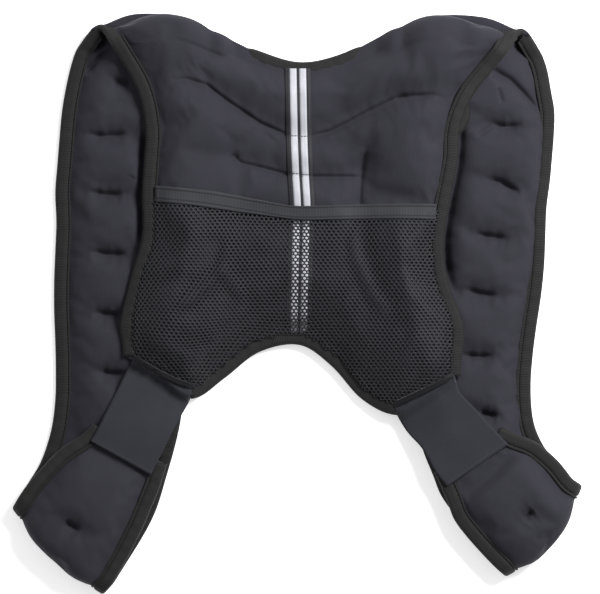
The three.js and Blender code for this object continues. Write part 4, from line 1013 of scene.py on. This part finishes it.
# Reflective tape down the middle of the back.
stripes = {
    "line": [(0.4, 206.0), (0.5, 200.0), (1.4, 149.6), (2.6, 115.4), (4.2, 85.5), (3.5, 74.1),
             (2.2, 25.9), (1.3, -18.0), (1.2, -24.6)],
    "spacing": 1.6,
    "hug": 0.8,
    # piece, CAD node, both sides from the middle line, lift, thickness, columns, what it lies on
    "strips": [
        ("stripeTape", "stripe_tape", (-11.2, 11.2), 0.25, 0.45, 9, "backPad"),
        ("stripeLeft", "stripe_left", (-7.1, -1.1), 0.72, 0.3, 4, "stripeTape"),
        ("stripeRight", "stripe_right", (1.3, 7.3), 0.72, 0.3, 4, "stripeTape"),
    ],
    "stitches": (0.0625, 0.0970),  # how far down the ribbon the channels cross it, metres
}
stripePieces = []
for name, node, span, lift, thickness, columns, below in stripes["strips"]:
    edges = [np.array(stripes["line"]) + [side, 0] for side in span]
    piece, flat, area = layRibbon(name, *edges, lift=lift, thickness=thickness, columns=columns,
                                  spacing=stripes["spacing"], hug=stripes["hug"])
    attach(piece, "root")
    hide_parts(node)
    stripePieces.append(piece)
print("reflective tape laid")

# Pocket on the back: an elastic band along the top and the net below it.
pocket = {
    "bandTop": [(-123.0, 103.2), (-93.9, 100.5), (-69.4, 97.8), (-32.5, 90.8), (-5.3, 86.0),
                (24.6, 86.0), (53.6, 86.9), (90.4, 87.3), (120.8, 87.3)],
    "bandBottom": [(-122.8, 89.2), (-93.9, 86.4), (-69.4, 82.9), (-20.2, 76.3), (2.6, 73.7),
                   (24.6, 73.7), (60.6, 74.3), (90.4, 74.3), (120.2, 74.1)],
    "band": {"lift": 1.3, "thickness": 1.2, "columns": 12, "spacing": 1.8, "settle": 14},
    "netFrom": 92,  # the net starts at this height, under the band
    "netUnder": 2.5,
    "netLift": 1.2,
    "cell": 3.95,
    "rowPitch": 2.75,
    "strand": 0.345,  # width of the strands, as a share of a cell's half width
    "netThickness": 0.00045,
    "warp": (0.9, 60),  # how far and over what length the rows of cells wander
    "bandSteps": 40,
    "netSteps": 60,
    "hemSteps": 30,
    "waves": [(0.35, 38, 31), (0.18, 17, 33)],
    # ridges of the slack net and how high they stand over the padding
    "folds": [([(-108, -6), (-86, 10), (-56, 38)], 3.2), ([(-58, 66), (-64, 30), (-40, -4)], 1.4),
              ([(46, 72), (52, 40), (66, 8), (84, -14)], 3.0), ([(92, -60), (104, -20)], 1.6),
              ([(-118, -40), (-92, -62)], 1.4), ([(28, -20), (46, -36), (60, -60)], 1.6)],
    "foldWidth": 5.5,
    "foldFade": 0.3,
    "hemWidth": 4.6,
    "hem": {"lift": 3.0, "thickness": 1.1, "columns": 6, "spacing": 1.6, "hug": 0.5, "settle": 8},
    "hems": {"netHemLeft": [(-143.0, -45.6), (-121.0, -58.6), (-103.5, -67.1), (-89.0, -72.1)],
             "netHemRight": [(83.2, -88.2), (98.2, -80.7), (116.2, -72.2), (136.4, -61.3)]},
}


def evenLine(points, count):
    points = np.asarray(points, float)
    knots = walked(points)
    return throughKnots(knots, points, np.linspace(0, knots[-1], count))


bandTop = evenLine(pocket["bandTop"], pocket["bandSteps"])
bandBottom = evenLine(pocket["bandBottom"], pocket["bandSteps"])
band, flat, area = layRibbon("pocketBand", bandTop, bandBottom, **pocket["band"])
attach(band, "root")
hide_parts("pocket_band")


def insideOf(plan, outline):
    inside = np.zeros(len(plan), bool)
    for a, b in zip(outline, np.roll(outline, -1, axis=0)):
        crosses = (a[1] > plan[:, 1]) != (b[1] > plan[:, 1])
        with np.errstate(divide="ignore", invalid="ignore"):
            at = a[0] + (plan[:, 1] - a[1]) / (b[1] - a[1]) * (b[0] - a[0])
        inside ^= crosses & (plan[:, 0] < at)
    return inside


def netOutline():
    bandAt = np.argmin(np.abs(back["points"][:, 3, 1] - pocket["netFrom"]))
    left = back["points"][bandAt:back["bottomFlange"] + 2, 2, 0:2]
    right = back["points"][bandAt:back["bottomFlange"] + 2, -3, 0:2]
    bottom = back["points"][back["bottomFlange"] + 1, 2:-2, 0:2]
    top = evenLine(pocket["bandBottom"], pocket["netSteps"]) + [0, pocket["netUnder"]]
    top = top[(top[:, 0] > left[0][0]) & (top[:, 0] < right[0][0])]
    return np.concatenate([left, bottom, right[::-1], top[::-1]])


def netHeight(x, y):
    level = easedTop(x, y) + pocket["netLift"]
    for height, size, seed in pocket["waves"]:
        level = level + height * ripple(x, y, size, seed)
    for line, high in pocket["folds"]:
        gap, share = nearLine(np.column_stack([x, y]), line)
        ends = smooth(np.minimum(share, 1 - share) / pocket["foldFade"])
        level = level + high * np.exp(-(gap / pocket["foldWidth"]) ** 2) * ends
    return level


def netPiece():
    outline = netOutline()
    low, high = outline.min(axis=0), outline.max(axis=0)
    cell, pitch = pocket["cell"], pocket["rowPitch"]
    centres = np.array([(low[0] + (j + 0.5 * (i % 2)) * cell, low[1] + i * pitch)
                        for i in range(int((high[1] - low[1]) / pitch) + 2)
                        for j in range(int((high[0] - low[0]) / cell) + 2)])
    centres = centres[insideOf(centres, outline)]
    third = pitch / 3
    corners = [(0, 2 * third), (-cell / 2, third), (-cell / 2, -third), (0, -2 * third),
               (cell / 2, -third), (cell / 2, third)]
    points, faces, known = [], [], {}

    def corner(x, y):  # shared with the cells beside it
        key = (round(x * 20), round(y * 20))
        if key not in known:
            known[key] = len(points)
            points.append((x, y))
        return known[key]

    for centre in centres:
        outerRing = [corner(centre[0] + dx, centre[1] + dy) for dx, dy in corners]
        first = len(points)
        for dx, dy in corners:
            points.append((centre[0] + dx * (1 - pocket["strand"]),
                           centre[1] + dy * (1 - pocket["strand"])))
        for k in range(6):
            m = (k + 1) % 6
            faces.append((outerRing[k], outerRing[m], first + m, first + k))
    plan = np.array(points)
    far, size = pocket["warp"]
    warped = plan + np.column_stack([far * ripple(plan[:, 0], plan[:, 1], size, seed)
                                     for seed in (41, 42)])
    heights = netHeight(warped[:, 0], warped[:, 1])
    piece = meshPiece("pocketNet", toFrame(np.column_stack([warped, heights])), faces,
                      plan / 1000)
    turnUp(piece)
    area = thicken(piece, pocket["netThickness"], 0)
    size = (high - low) / 1000
    print("net cells", len(centres))
    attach(piece, "root")
    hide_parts("pocket_mesh")
    return piece


net = netPiece()
netHems = []
for name, line in pocket["hems"].items():
    run = evenLine(line, pocket["hemSteps"])
    along = np.gradient(run, axis=0)
    across = np.column_stack([along[:, 1], -along[:, 0]])
    across = across / np.linalg.norm(across, axis=1)[:, None] * pocket["hemWidth"] / 2
    hem, flat, area = layRibbon(name, run - across, run + across, **pocket["hem"])
    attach(hem, "root")
    netHems.append(hem)
print("pocket sewn")

# Elastic straps at the sides.
webbing = {
    "thickness": 0.0016,
    "columns": 28,
    "spacing": 1.6,
    "lift": 0.9,
    "overHem": 1.1,  # how far it clears the back panel's hem, within its first stretch
    "overRun": 26,
    "evenings": 12,
    # the step at its outer end, where it is sewn to the folded front
    "hem": 3.0,
    "hemRun": 1.5,
    "hemRise": 0.5,
    "waves": [(0.3, 30, 51)],
    "flatStart": 12,
    "flatEnd": 20,
    "stitches": (0.0026,),  # rows across it, from its outer end, metres
}


def strapPiece(name, rows, node):
    scale = [vest["width"], vest["length"]]
    table = np.array([[*(np.array(outer) * scale), *(np.array(inner) * scale), *heights]
                      for outer, inner, heights in rows])
    knots = walked((table[:, 0:2] + table[:, 2:4]) / 2)
    count = int(round(knots[-1] / webbing["spacing"])) + 1
    at = np.linspace(0, knots[-1], count)
    toEnd = at[-1] - at
    shares = np.linspace(0, 1, webbing["columns"])
    points = np.zeros((count, webbing["columns"], 3))
    for i, line in enumerate(throughKnots(knots, table, at)):
        points[i, :, 0:2] = line[0:2] + (line[2:4] - line[0:2]) * shares[:, None]
        points[i, :, 2] = throughKnots([0, 0.5, 1], line[4:7][:, None], shares)[:, 0]
        step = float(smooth((webbing["hem"] - toEnd[i]) / webbing["hemRun"]))
        points[i, :, 2] += webbing["hemRise"] * step
    under = np.zeros(points.shape[:2])
    for i in np.nonzero(at < webbing["overRun"])[0]:
        for j in range(webbing["columns"]):
            skin = topOf(points[i, j, 0], points[i, j, 1])
            under[i, j] = 0 if skin is None else skin + webbing["overHem"]
    heights = np.maximum(points[:, :, 2], under)
    for _ in range(webbing["evenings"]):
        evened = heights.copy()
        evened[1:-1] = (heights[:-2] + 2 * heights[1:-1] + heights[2:]) / 4
        heights = np.maximum(evened, under)
    waves = uneven(points[:, :, 0], points[:, :, 1], webbing["waves"])
    waves *= smooth(at / webbing["flatStart"])[:, None]
    waves *= smooth(toEnd / webbing["flatEnd"])[:, None]
    points[:, :, 2] = heights + waves
    points[:, :, 2] += webbing["lift"]
    across = acrossRows(points)
    across -= across[:, -1:] / 2
    run = walked(points[:, webbing["columns"] // 2])
    along = np.repeat((run[-1] - run)[:, None], webbing["columns"], axis=1)
    uvs = np.stack([along, across], axis=2).reshape(-1, 2) / 1000
    piece = meshPiece(name, toFrame(points).reshape(-1, 3),
                      gridFaces(count, webbing["columns"]), uvs)
    turnUp(piece)
    area = thicken(piece, webbing["thickness"], -1)
    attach(piece, "root")
    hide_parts(node)
    return piece


strapLeft = strapPiece("sideStrapLeft", leftStrapRows, "side_strap_left")
strapRight = strapPiece("sideStrapRight", rightStrapRows, "side_strap_right")
print("straps sewn")

for pad, node, slot in ((backPad, "back_panel", "shell"),
                        (leftPad, "front_panel_left", "front_shell"),
                        (rightPad, "front_panel_right", "front_shell")):
    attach(pad, "root")
    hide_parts(node)


# Looks. Colours are linear, patterns are in metres of cloth.
def addNode(tree, kind, where, **values):
    node = tree.nodes.new(kind)
    node.location = where
    for key, value in values.items():
        setattr(node, key, value)
    return node


def mathNode(tree, operation, where, first, second=None, third=None):
    node = addNode(tree, "ShaderNodeMath", where, operation=operation)
    for socket, value in zip(node.inputs, (first, second, third)):
        if value is None:
            continue
        if isinstance(value, (int, float)):
            socket.default_value = value
        else:
            tree.links.new(value, socket)
    return node.outputs[0]


def startGroup(name, inputs, outputs):
    tree = bpy.data.node_groups.new(name, "ShaderNodeTree")
    for label, kind, value in inputs:
        socket = tree.interface.new_socket(name=label, in_out="INPUT", socket_type=kind)
        if value is not None:
            socket.default_value = value
    for label, kind in outputs:
        tree.interface.new_socket(name=label, in_out="OUTPUT", socket_type=kind)
    given = addNode(tree, "NodeGroupInput", (-900, 0))
    return tree, given, addNode(tree, "NodeGroupOutput", (700, 0))


def clothGrainGroup():  # uneven tone and a fine knit over any cloth
    tree, given, result = startGroup(
        "clothGrain",
        [("Vector", "NodeSocketVector", None), ("Patch", "NodeSocketFloat", 28.0),
         ("Grain", "NodeSocketFloat", 900.0)],
        [("Tone", "NodeSocketFloat"), ("Height", "NodeSocketFloat"),
         ("Lint", "NodeSocketFloat")])
    patch = addNode(tree, "ShaderNodeTexNoise", (-600, 200))
    patch.inputs["Detail"].default_value = 3
    grain = addNode(tree, "ShaderNodeTexNoise", (-600, -50))
    grain.inputs["Detail"].default_value = 2
    lint = addNode(tree, "ShaderNodeTexVoronoi", (-600, -300))
    lint.inputs["Scale"].default_value = 160
    for node in (patch, grain, lint):
        tree.links.new(given.outputs["Vector"], node.inputs["Vector"])
    tree.links.new(given.outputs["Patch"], patch.inputs["Scale"])
    tree.links.new(given.outputs["Grain"], grain.inputs["Scale"])
    wide = mathNode(tree, "MULTIPLY", (-300, 200), patch.outputs["Fac"], 0.6)
    fine = mathNode(tree, "MULTIPLY", (-300, 0), grain.outputs["Fac"], 0.4)
    tone = mathNode(tree, "ADD", (0, 100), wide, fine)
    speck = mathNode(tree, "LESS_THAN", (-300, -300), lint.outputs["Distance"], 0.055)
    tree.links.new(tone, result.inputs["Tone"])
    tree.links.new(grain.outputs["Fac"], result.inputs["Height"])
    tree.links.new(speck, result.inputs["Lint"])
    return tree


def ribGroup():  # woven ribs along one direction of the cloth, crossed by finer threads
    tree, given, result = startGroup(
        "wovenRibs",
        [("Vector", "NodeSocketVector", None), ("Rib", "NodeSocketFloat", 0.0016),
         ("Thread", "NodeSocketFloat", 0.0009)],
        [("Height", "NodeSocketFloat"), ("Shade", "NodeSocketFloat")])
    split = addNode(tree, "ShaderNodeSeparateXYZ", (-700, 0))
    tree.links.new(given.outputs["Vector"], split.inputs[0])
    ribAt = mathNode(tree, "DIVIDE", (-500, 150), split.outputs["X"], given.outputs["Rib"])
    threadAt = mathNode(tree, "DIVIDE", (-500, -150), split.outputs["Y"], given.outputs["Thread"])
    rib = mathNode(tree, "SINE", (-300, 150), mathNode(
        tree, "MULTIPLY", (-400, 150), ribAt, 6.2832))
    thread = mathNode(tree, "SINE", (-300, -150), mathNode(
        tree, "MULTIPLY", (-400, -150), threadAt, 6.2832))
    crossed = mathNode(tree, "MULTIPLY", (-100, 0), rib, thread)
    both = mathNode(tree, "ADD", (50, 0), rib, mathNode(
        tree, "MULTIPLY", (0, -100), crossed, 0.5))
    height = mathNode(tree, "MULTIPLY_ADD", (200, 0), both, 0.33, 0.5)
    tree.links.new(height, result.inputs["Height"])
    shade = mathNode(tree, "MULTIPLY_ADD", (200, -200), rib, 0.5, 0.5)
    tree.links.new(shade, result.inputs["Shade"])
    return tree


def stitchGroup():  # one row of machine stitches at a distance across the cloth
    tree, given, result = startGroup(
        "stitchRow",
        [("Vector", "NodeSocketVector", None), ("Across", "NodeSocketFloat", 0.0),
         ("Pitch", "NodeSocketFloat", 0.0034), ("Width", "NodeSocketFloat", 0.0004)],
        [("Thread", "NodeSocketFloat"), ("Groove", "NodeSocketFloat")])
    split = addNode(tree, "ShaderNodeSeparateXYZ", (-700, 0))
    tree.links.new(given.outputs["Vector"], split.inputs[0])
    apart = mathNode(tree, "ABSOLUTE", (-400, 100), mathNode(
        tree, "SUBTRACT", (-500, 100), mathNode(tree, "ABSOLUTE", (-600, 100), split.outputs["Y"]),
        given.outputs["Across"]))
    near = mathNode(tree, "LESS_THAN", (-250, 100), apart, given.outputs["Width"])
    step = mathNode(tree, "FRACT", (-400, -100), mathNode(
        tree, "DIVIDE", (-500, -100), split.outputs["X"], given.outputs["Pitch"]))
    dash = mathNode(tree, "LESS_THAN", (-250, -100), step, 0.72)
    thread = mathNode(tree, "MULTIPLY", (-50, 0), near, dash)
    wide = mathNode(tree, "MULTIPLY", (-400, 300), given.outputs["Width"], 3.0)
    groove = mathNode(tree, "SUBTRACT", (-50, 250), 1.0, mathNode(
        tree, "MINIMUM", (-150, 250), mathNode(tree, "DIVIDE", (-250, 250), apart, wide), 1.0))
    tree.links.new(thread, result.inputs["Thread"])
    tree.links.new(groove, result.inputs["Groove"])
    return tree


clothGrain, wovenRibs, stitchRow = clothGrainGroup(), ribGroup(), stitchGroup()


def startMaterial(name, roughness, sheen=0.0, sheenRoughness=0.5, sheenTint=(1, 1, 1),
                  shine=0.16):
    material = bpy.data.materials.new(name)
    material.use_nodes = True
    tree = material.node_tree
    shader = tree.nodes["Principled BSDF"]
    shader.inputs["Roughness"].default_value = roughness
    shader.inputs["Specular IOR Level"].default_value = shine
    shader.inputs["Sheen Weight"].default_value = sheen
    shader.inputs["Sheen Roughness"].default_value = sheenRoughness
    shader.inputs["Sheen Tint"].default_value = (*sheenTint, 1)
    return material, tree, shader


def groupNode(tree, group, where, **values):
    node = addNode(tree, "ShaderNodeGroup", where, node_tree=group)
    for label, value in values.items():
        node.inputs[label].default_value = value
    return node


def onCloth(tree, *nodes):  # lays patterns along the piece's own cloth
    cloth = addNode(tree, "ShaderNodeUVMap", (-1200, 0), uv_map="cloth")
    for node in nodes:
        tree.links.new(cloth.outputs["UV"], node.inputs["Vector"])
    return cloth.outputs["UV"]


def onObject(tree, node):
    place = addNode(tree, "ShaderNodeTexCoord", (-1200, 200))
    tree.links.new(place.outputs["Object"], node.inputs["Vector"])


def mixColour(tree, where, share, first, second):
    node = addNode(tree, "ShaderNodeMix", where, data_type="RGBA")
    sockets = [node.inputs[k] for k in (0, 6, 7)]
    for socket, value in zip(sockets, (share, first, second)):
        if isinstance(value, tuple):
            socket.default_value = (*value, 1)
        elif isinstance(value, (int, float)):
            socket.default_value = value
        else:
            tree.links.new(value, socket)
    return node.outputs[2]


def addBump(tree, shader, height, strength, distance):
    bump = addNode(tree, "ShaderNodeBump", (100, -400))
    bump.inputs["Strength"].default_value = strength
    bump.inputs["Distance"].default_value = distance
    tree.links.new(height, bump.inputs["Height"])
    tree.links.new(bump.outputs["Normal"], shader.inputs["Normal"])


finish = {
    "padDark": (0.0157, 0.0153, 0.0202),
    "padLight": (0.0254, 0.0246, 0.0333),
    "lint": (0.09, 0.09, 0.1),
    "tapeDark": (0.0058, 0.0057, 0.0056),
    "tapeLight": (0.0184, 0.0181, 0.0180),
    "netDark": (0.0127, 0.0129, 0.0153),
    "netLight": (0.0217, 0.0220, 0.0265),
    "hemDark": (0.0035, 0.0036, 0.0045),
    "hemLight": (0.008, 0.0082, 0.01),
    "bandDark": (0.0223, 0.0227, 0.0259),
    "bandLight": (0.0374, 0.0382, 0.0443),
    "groundDark": (0.016, 0.016, 0.0192),
    "groundLight": (0.024, 0.024, 0.0288),
    "stripeDark": (0.318, 0.318, 0.352),
    "stripeLight": (0.424, 0.424, 0.462),
    "webDark": (0.0136, 0.014, 0.0179),
    "webLight": (0.0255, 0.0263, 0.034),
    "thread": (0.03, 0.03, 0.032),
}


def padMaterial():
    material, tree, shader = startMaterial(
        "paddedKnit", roughness=0.82, sheen=0.12, sheenRoughness=0.4, sheenTint=(0.75, 0.75, 0.85))
    grain = groupNode(tree, clothGrain, (-900, 200), Patch=26.0, Grain=1500.0)
    ribs = groupNode(tree, wovenRibs, (-900, -200), Rib=0.0011, Thread=0.0013)
    onObject(tree, grain)
    onCloth(tree, ribs)
    colour = mixColour(tree, (-500, 200), grain.outputs["Tone"], finish["padDark"],
                       finish["padLight"])
    lint = mathNode(tree, "MULTIPLY", (-500, 0), grain.outputs["Lint"], 0.25)
    colour = mixColour(tree, (-300, 200), lint, colour, finish["lint"])
    tree.links.new(colour, shader.inputs["Base Color"])
    height = mathNode(tree, "ADD", (-300, -300), mathNode(
        tree, "MULTIPLY", (-500, -300), ribs.outputs["Height"], 0.7), grain.outputs["Height"])
    addBump(tree, shader, height, strength=0.35, distance=0.0004)
    return material


def tapeMaterial():
    material, tree, shader = startMaterial(
        "bindingTape", roughness=0.66, sheen=0.06, sheenRoughness=0.35, sheenTint=(0.8, 0.8, 0.8))
    ribs = groupNode(tree, wovenRibs, (-900, 200), Rib=0.0014, Thread=0.0011)
    grain = groupNode(tree, clothGrain, (-900, -100), Patch=60.0, Grain=1400.0)
    stitches = groupNode(tree, stitchRow, (-900, -400), Across=0.0128, Pitch=0.0036,
                         Width=0.00045)
    onCloth(tree, ribs, grain, stitches)
    share = mathNode(tree, "MULTIPLY_ADD", (-500, 200), ribs.outputs["Shade"], 0.45, mathNode(
        tree, "MULTIPLY", (-600, 0), grain.outputs["Tone"], 0.55))
    colour = mixColour(tree, (-300, 200), share, finish["tapeDark"], finish["tapeLight"])
    colour = mixColour(tree, (-150, 200), stitches.outputs["Thread"], colour, finish["thread"])
    tree.links.new(colour, shader.inputs["Base Color"])
    thread = mathNode(tree, "MULTIPLY", (-600, -300), stitches.outputs["Thread"], 1.2)
    groove = mathNode(tree, "MULTIPLY", (-450, -450), stitches.outputs["Groove"], 1.3)
    raised = mathNode(tree, "ADD", (-450, -300), ribs.outputs["Height"], thread)
    height = mathNode(tree, "SUBTRACT", (-300, -300), raised, groove)
    addBump(tree, shader, height, strength=0.6, distance=0.0005)
    return material


def netMaterial(name, dark, light):
    material, tree, shader = startMaterial(
        name, roughness=0.6, sheen=0.15, sheenRoughness=0.4, sheenTint=(0.8, 0.8, 0.85))
    grain = groupNode(tree, clothGrain, (-900, 0), Patch=40.0, Grain=2600.0)
    onObject(tree, grain)
    colour = mixColour(tree, (-400, 100), grain.outputs["Tone"], dark, light)
    tree.links.new(colour, shader.inputs["Base Color"])
    addBump(tree, shader, grain.outputs["Height"], strength=0.4, distance=0.0003)
    return material


def bandMaterial():
    material, tree, shader = startMaterial(
        "pocketElastic", roughness=0.7, sheen=0.12, sheenRoughness=0.4, sheenTint=(0.8, 0.8, 0.85))
    ribs = groupNode(tree, wovenRibs, (-900, 200), Rib=0.0013, Thread=0.001)
    grain = groupNode(tree, clothGrain, (-900, -100), Patch=50.0, Grain=1500.0)
    stitches = groupNode(tree, stitchRow, (-900, -400), Across=0.0042, Pitch=0.003,
                         Width=0.0004)
    onCloth(tree, ribs, grain, stitches)
    colour = mixColour(tree, (-400, 200), grain.outputs["Tone"], finish["bandDark"],
                       finish["bandLight"])
    # painted shade: the band's colour darkens toward the net's dark colour in the groove beside its
    # stitch row
    shade = mathNode(tree, "MULTIPLY", (-400, 0), stitches.outputs["Groove"], 0.75)
    colour = mixColour(tree, (-250, 200), shade, colour, finish["netDark"])
    tree.links.new(colour, shader.inputs["Base Color"])
    groove = mathNode(tree, "MULTIPLY", (-450, -450), stitches.outputs["Groove"], 1.4)
    height = mathNode(tree, "SUBTRACT", (-300, -300), ribs.outputs["Height"], groove)
    addBump(tree, shader, height, strength=0.5, distance=0.0005)
    return material


def acrossStitches(tree, along, places, width, pitch, long):
    # rows of stitches across a ribbon: their full lines, and the dashes of thread on them
    split = addNode(tree, "ShaderNodeSeparateXYZ", (-1000, -700))
    tree.links.new(along, split.inputs[0])
    rows = None
    for distance in places:
        apart = mathNode(tree, "ABSOLUTE", (-700, -700), mathNode(
            tree, "SUBTRACT", (-800, -700), split.outputs["X"], distance))
        row = mathNode(tree, "LESS_THAN", (-600, -700), apart, width)
        rows = row if rows is None else mathNode(tree, "MAXIMUM", (-500, -700), rows, row)
    dash = mathNode(tree, "LESS_THAN", (-600, -850), mathNode(
        tree, "FRACT", (-700, -850), mathNode(
            tree, "DIVIDE", (-800, -850), split.outputs["Y"], pitch)), long)
    return rows, mathNode(tree, "MULTIPLY", (-400, -750), rows, dash)


def groundMaterial():
    material, tree, shader = startMaterial(
        "stripeGround", roughness=0.6, sheen=0.1, sheenRoughness=0.4, sheenTint=(0.8, 0.8, 0.85))
    ribs = groupNode(tree, wovenRibs, (-900, 200), Rib=0.0009, Thread=0.0009)
    stitches = groupNode(tree, stitchRow, (-900, -400), Across=0.0098, Pitch=0.0032,
                         Width=0.00035)
    onCloth(tree, ribs, stitches)
    colour = mixColour(tree, (-400, 200), ribs.outputs["Height"], finish["groundDark"],
                       finish["groundLight"])
    colour = mixColour(tree, (-250, 200), stitches.outputs["Thread"], colour, finish["thread"])
    tree.links.new(colour, shader.inputs["Base Color"])
    groove = mathNode(tree, "MULTIPLY", (-450, -450), stitches.outputs["Groove"], 1.2)
    height = mathNode(tree, "SUBTRACT", (-300, -300), ribs.outputs["Height"], groove)
    addBump(tree, shader, height, strength=0.4, distance=0.0004)
    return material


def stripeMaterial():
    material, tree, shader = startMaterial("reflectiveStripe", roughness=0.42)
    grain = groupNode(tree, clothGrain, (-900, 0), Patch=90.0, Grain=3200.0)
    along = onCloth(tree, grain)
    colour = mixColour(tree, (-400, 100), grain.outputs["Tone"], finish["stripeDark"],
                       finish["stripeLight"])
    _, thread = acrossStitches(tree, along, stripes["stitches"], width=0.00042, pitch=0.0026,
                               long=0.8)
    colour = mixColour(tree, (-200, 100), thread, colour, finish["thread"])
    tree.links.new(colour, shader.inputs["Base Color"])
    height = mathNode(tree, "MULTIPLY_ADD", (-200, -200), thread, -2.0, grain.outputs["Height"])
    addBump(tree, shader, height, strength=0.3, distance=0.0003)
    return material


def webbingMaterial():
    material, tree, shader = startMaterial(
        "elasticWebbing", roughness=0.72, sheen=0.14, sheenRoughness=0.4,
        sheenTint=(0.75, 0.75, 0.9))
    ribs = groupNode(tree, wovenRibs, (-900, 200), Rib=0.0012, Thread=0.0016)
    grain = groupNode(tree, clothGrain, (-900, -100), Patch=40.0, Grain=1600.0)
    along = onCloth(tree, ribs, grain)
    rows, thread = acrossStitches(tree, along, webbing["stitches"], width=0.00045, pitch=0.0034,
                                  long=0.7)
    colour = mixColour(tree, (-400, 200), grain.outputs["Tone"], finish["webDark"],
                       finish["webLight"])
    colour = mixColour(tree, (-250, 200), thread, colour, finish["thread"])
    tree.links.new(colour, shader.inputs["Base Color"])
    groove = mathNode(tree, "MULTIPLY", (-300, -450), rows, 0.8)
    height = mathNode(tree, "SUBTRACT", (-200, -300), ribs.outputs["Height"], groove)
    addBump(tree, shader, height, strength=0.55, distance=0.0005)
    return material


def giveLook(material, *pieces):
    for piece in pieces:
        piece.data.materials.append(material)


giveLook(padMaterial(), backPad, leftPad, rightPad)
giveLook(tapeMaterial(), armTapeLeft, armTapeRight, tapeEndPiece, neckTape, archTape, *edgeTapes)
giveLook(netMaterial("pocketNetting", finish["netDark"], finish["netLight"]), net)
giveLook(netMaterial("netHem", finish["hemDark"], finish["hemLight"]), *netHems)
giveLook(bandMaterial(), band)
giveLook(groundMaterial(), stripePieces[0])
giveLook(stripeMaterial(), *stripePieces[1:])
giveLook(webbingMaterial(), strapLeft, strapRight)
print("looks given")

# Floor, light and camera.
studio = {
    "floor": (0.93, 0.93, 0.93),
    "floorGlow": 0.5,
    "world": 0.42,
    "key": (0.9, 0.8, 1.25),
    "keyPower": 50,
    "keySize": 0.6,
    "fill": (-0.9, 0.9, 1.4),
    "fillPower": 3,
    "fillSize": 1.2,
    "lampAim": (0, 0, 0.01),
    "aim": (0.0026, 0.0066, 0.0),
    "height": 3.0,
    "lens": 205,
}
bpy.ops.mesh.primitive_plane_add(size=8, location=(0, 0, 0))
ground = bpy.context.object
ground.name = "studioFloor"
floorPaint, _, floorShader = startMaterial("studioPaper", roughness=0.9)
floorShader.inputs["Base Color"].default_value = (*studio["floor"], 1)
floorShader.inputs["Emission Color"].default_value = (1, 1, 1, 1)
floorShader.inputs["Emission Strength"].default_value = studio["floorGlow"]
ground.data.materials.append(floorPaint)

world = bpy.data.worlds.new("studioAir")
bpy.context.scene.world = world
world.use_nodes = True
air = world.node_tree.nodes["Background"]
air.inputs["Color"].default_value = (1, 1, 1, 1)
air.inputs["Strength"].default_value = studio["world"]


def softLight(name, where, power, size):
    bpy.ops.object.light_add(type="AREA", location=where)
    lamp = bpy.context.object
    lamp.name = name
    lamp.data.energy = power
    lamp.data.size = size
    way = Vector(studio["lampAim"]) - Vector(where)
    lamp.rotation_euler = way.to_track_quat("-Z", "Y").to_euler()


softLight("keyLight", studio["key"], studio["keyPower"], studio["keySize"])
softLight("fillLight", studio["fill"], studio["fillPower"], studio["fillSize"])
bpy.ops.object.camera_add(location=(studio["aim"][0], studio["aim"][1], studio["height"]))
camera = bpy.context.object
camera.data.lens = studio["lens"]
camera.data.sensor_width = 36
camera.data.dof.use_dof = False
bpy.context.scene.camera = camera
bpy.context.scene.view_settings.view_transform = "Standard"  # keeps the paper white
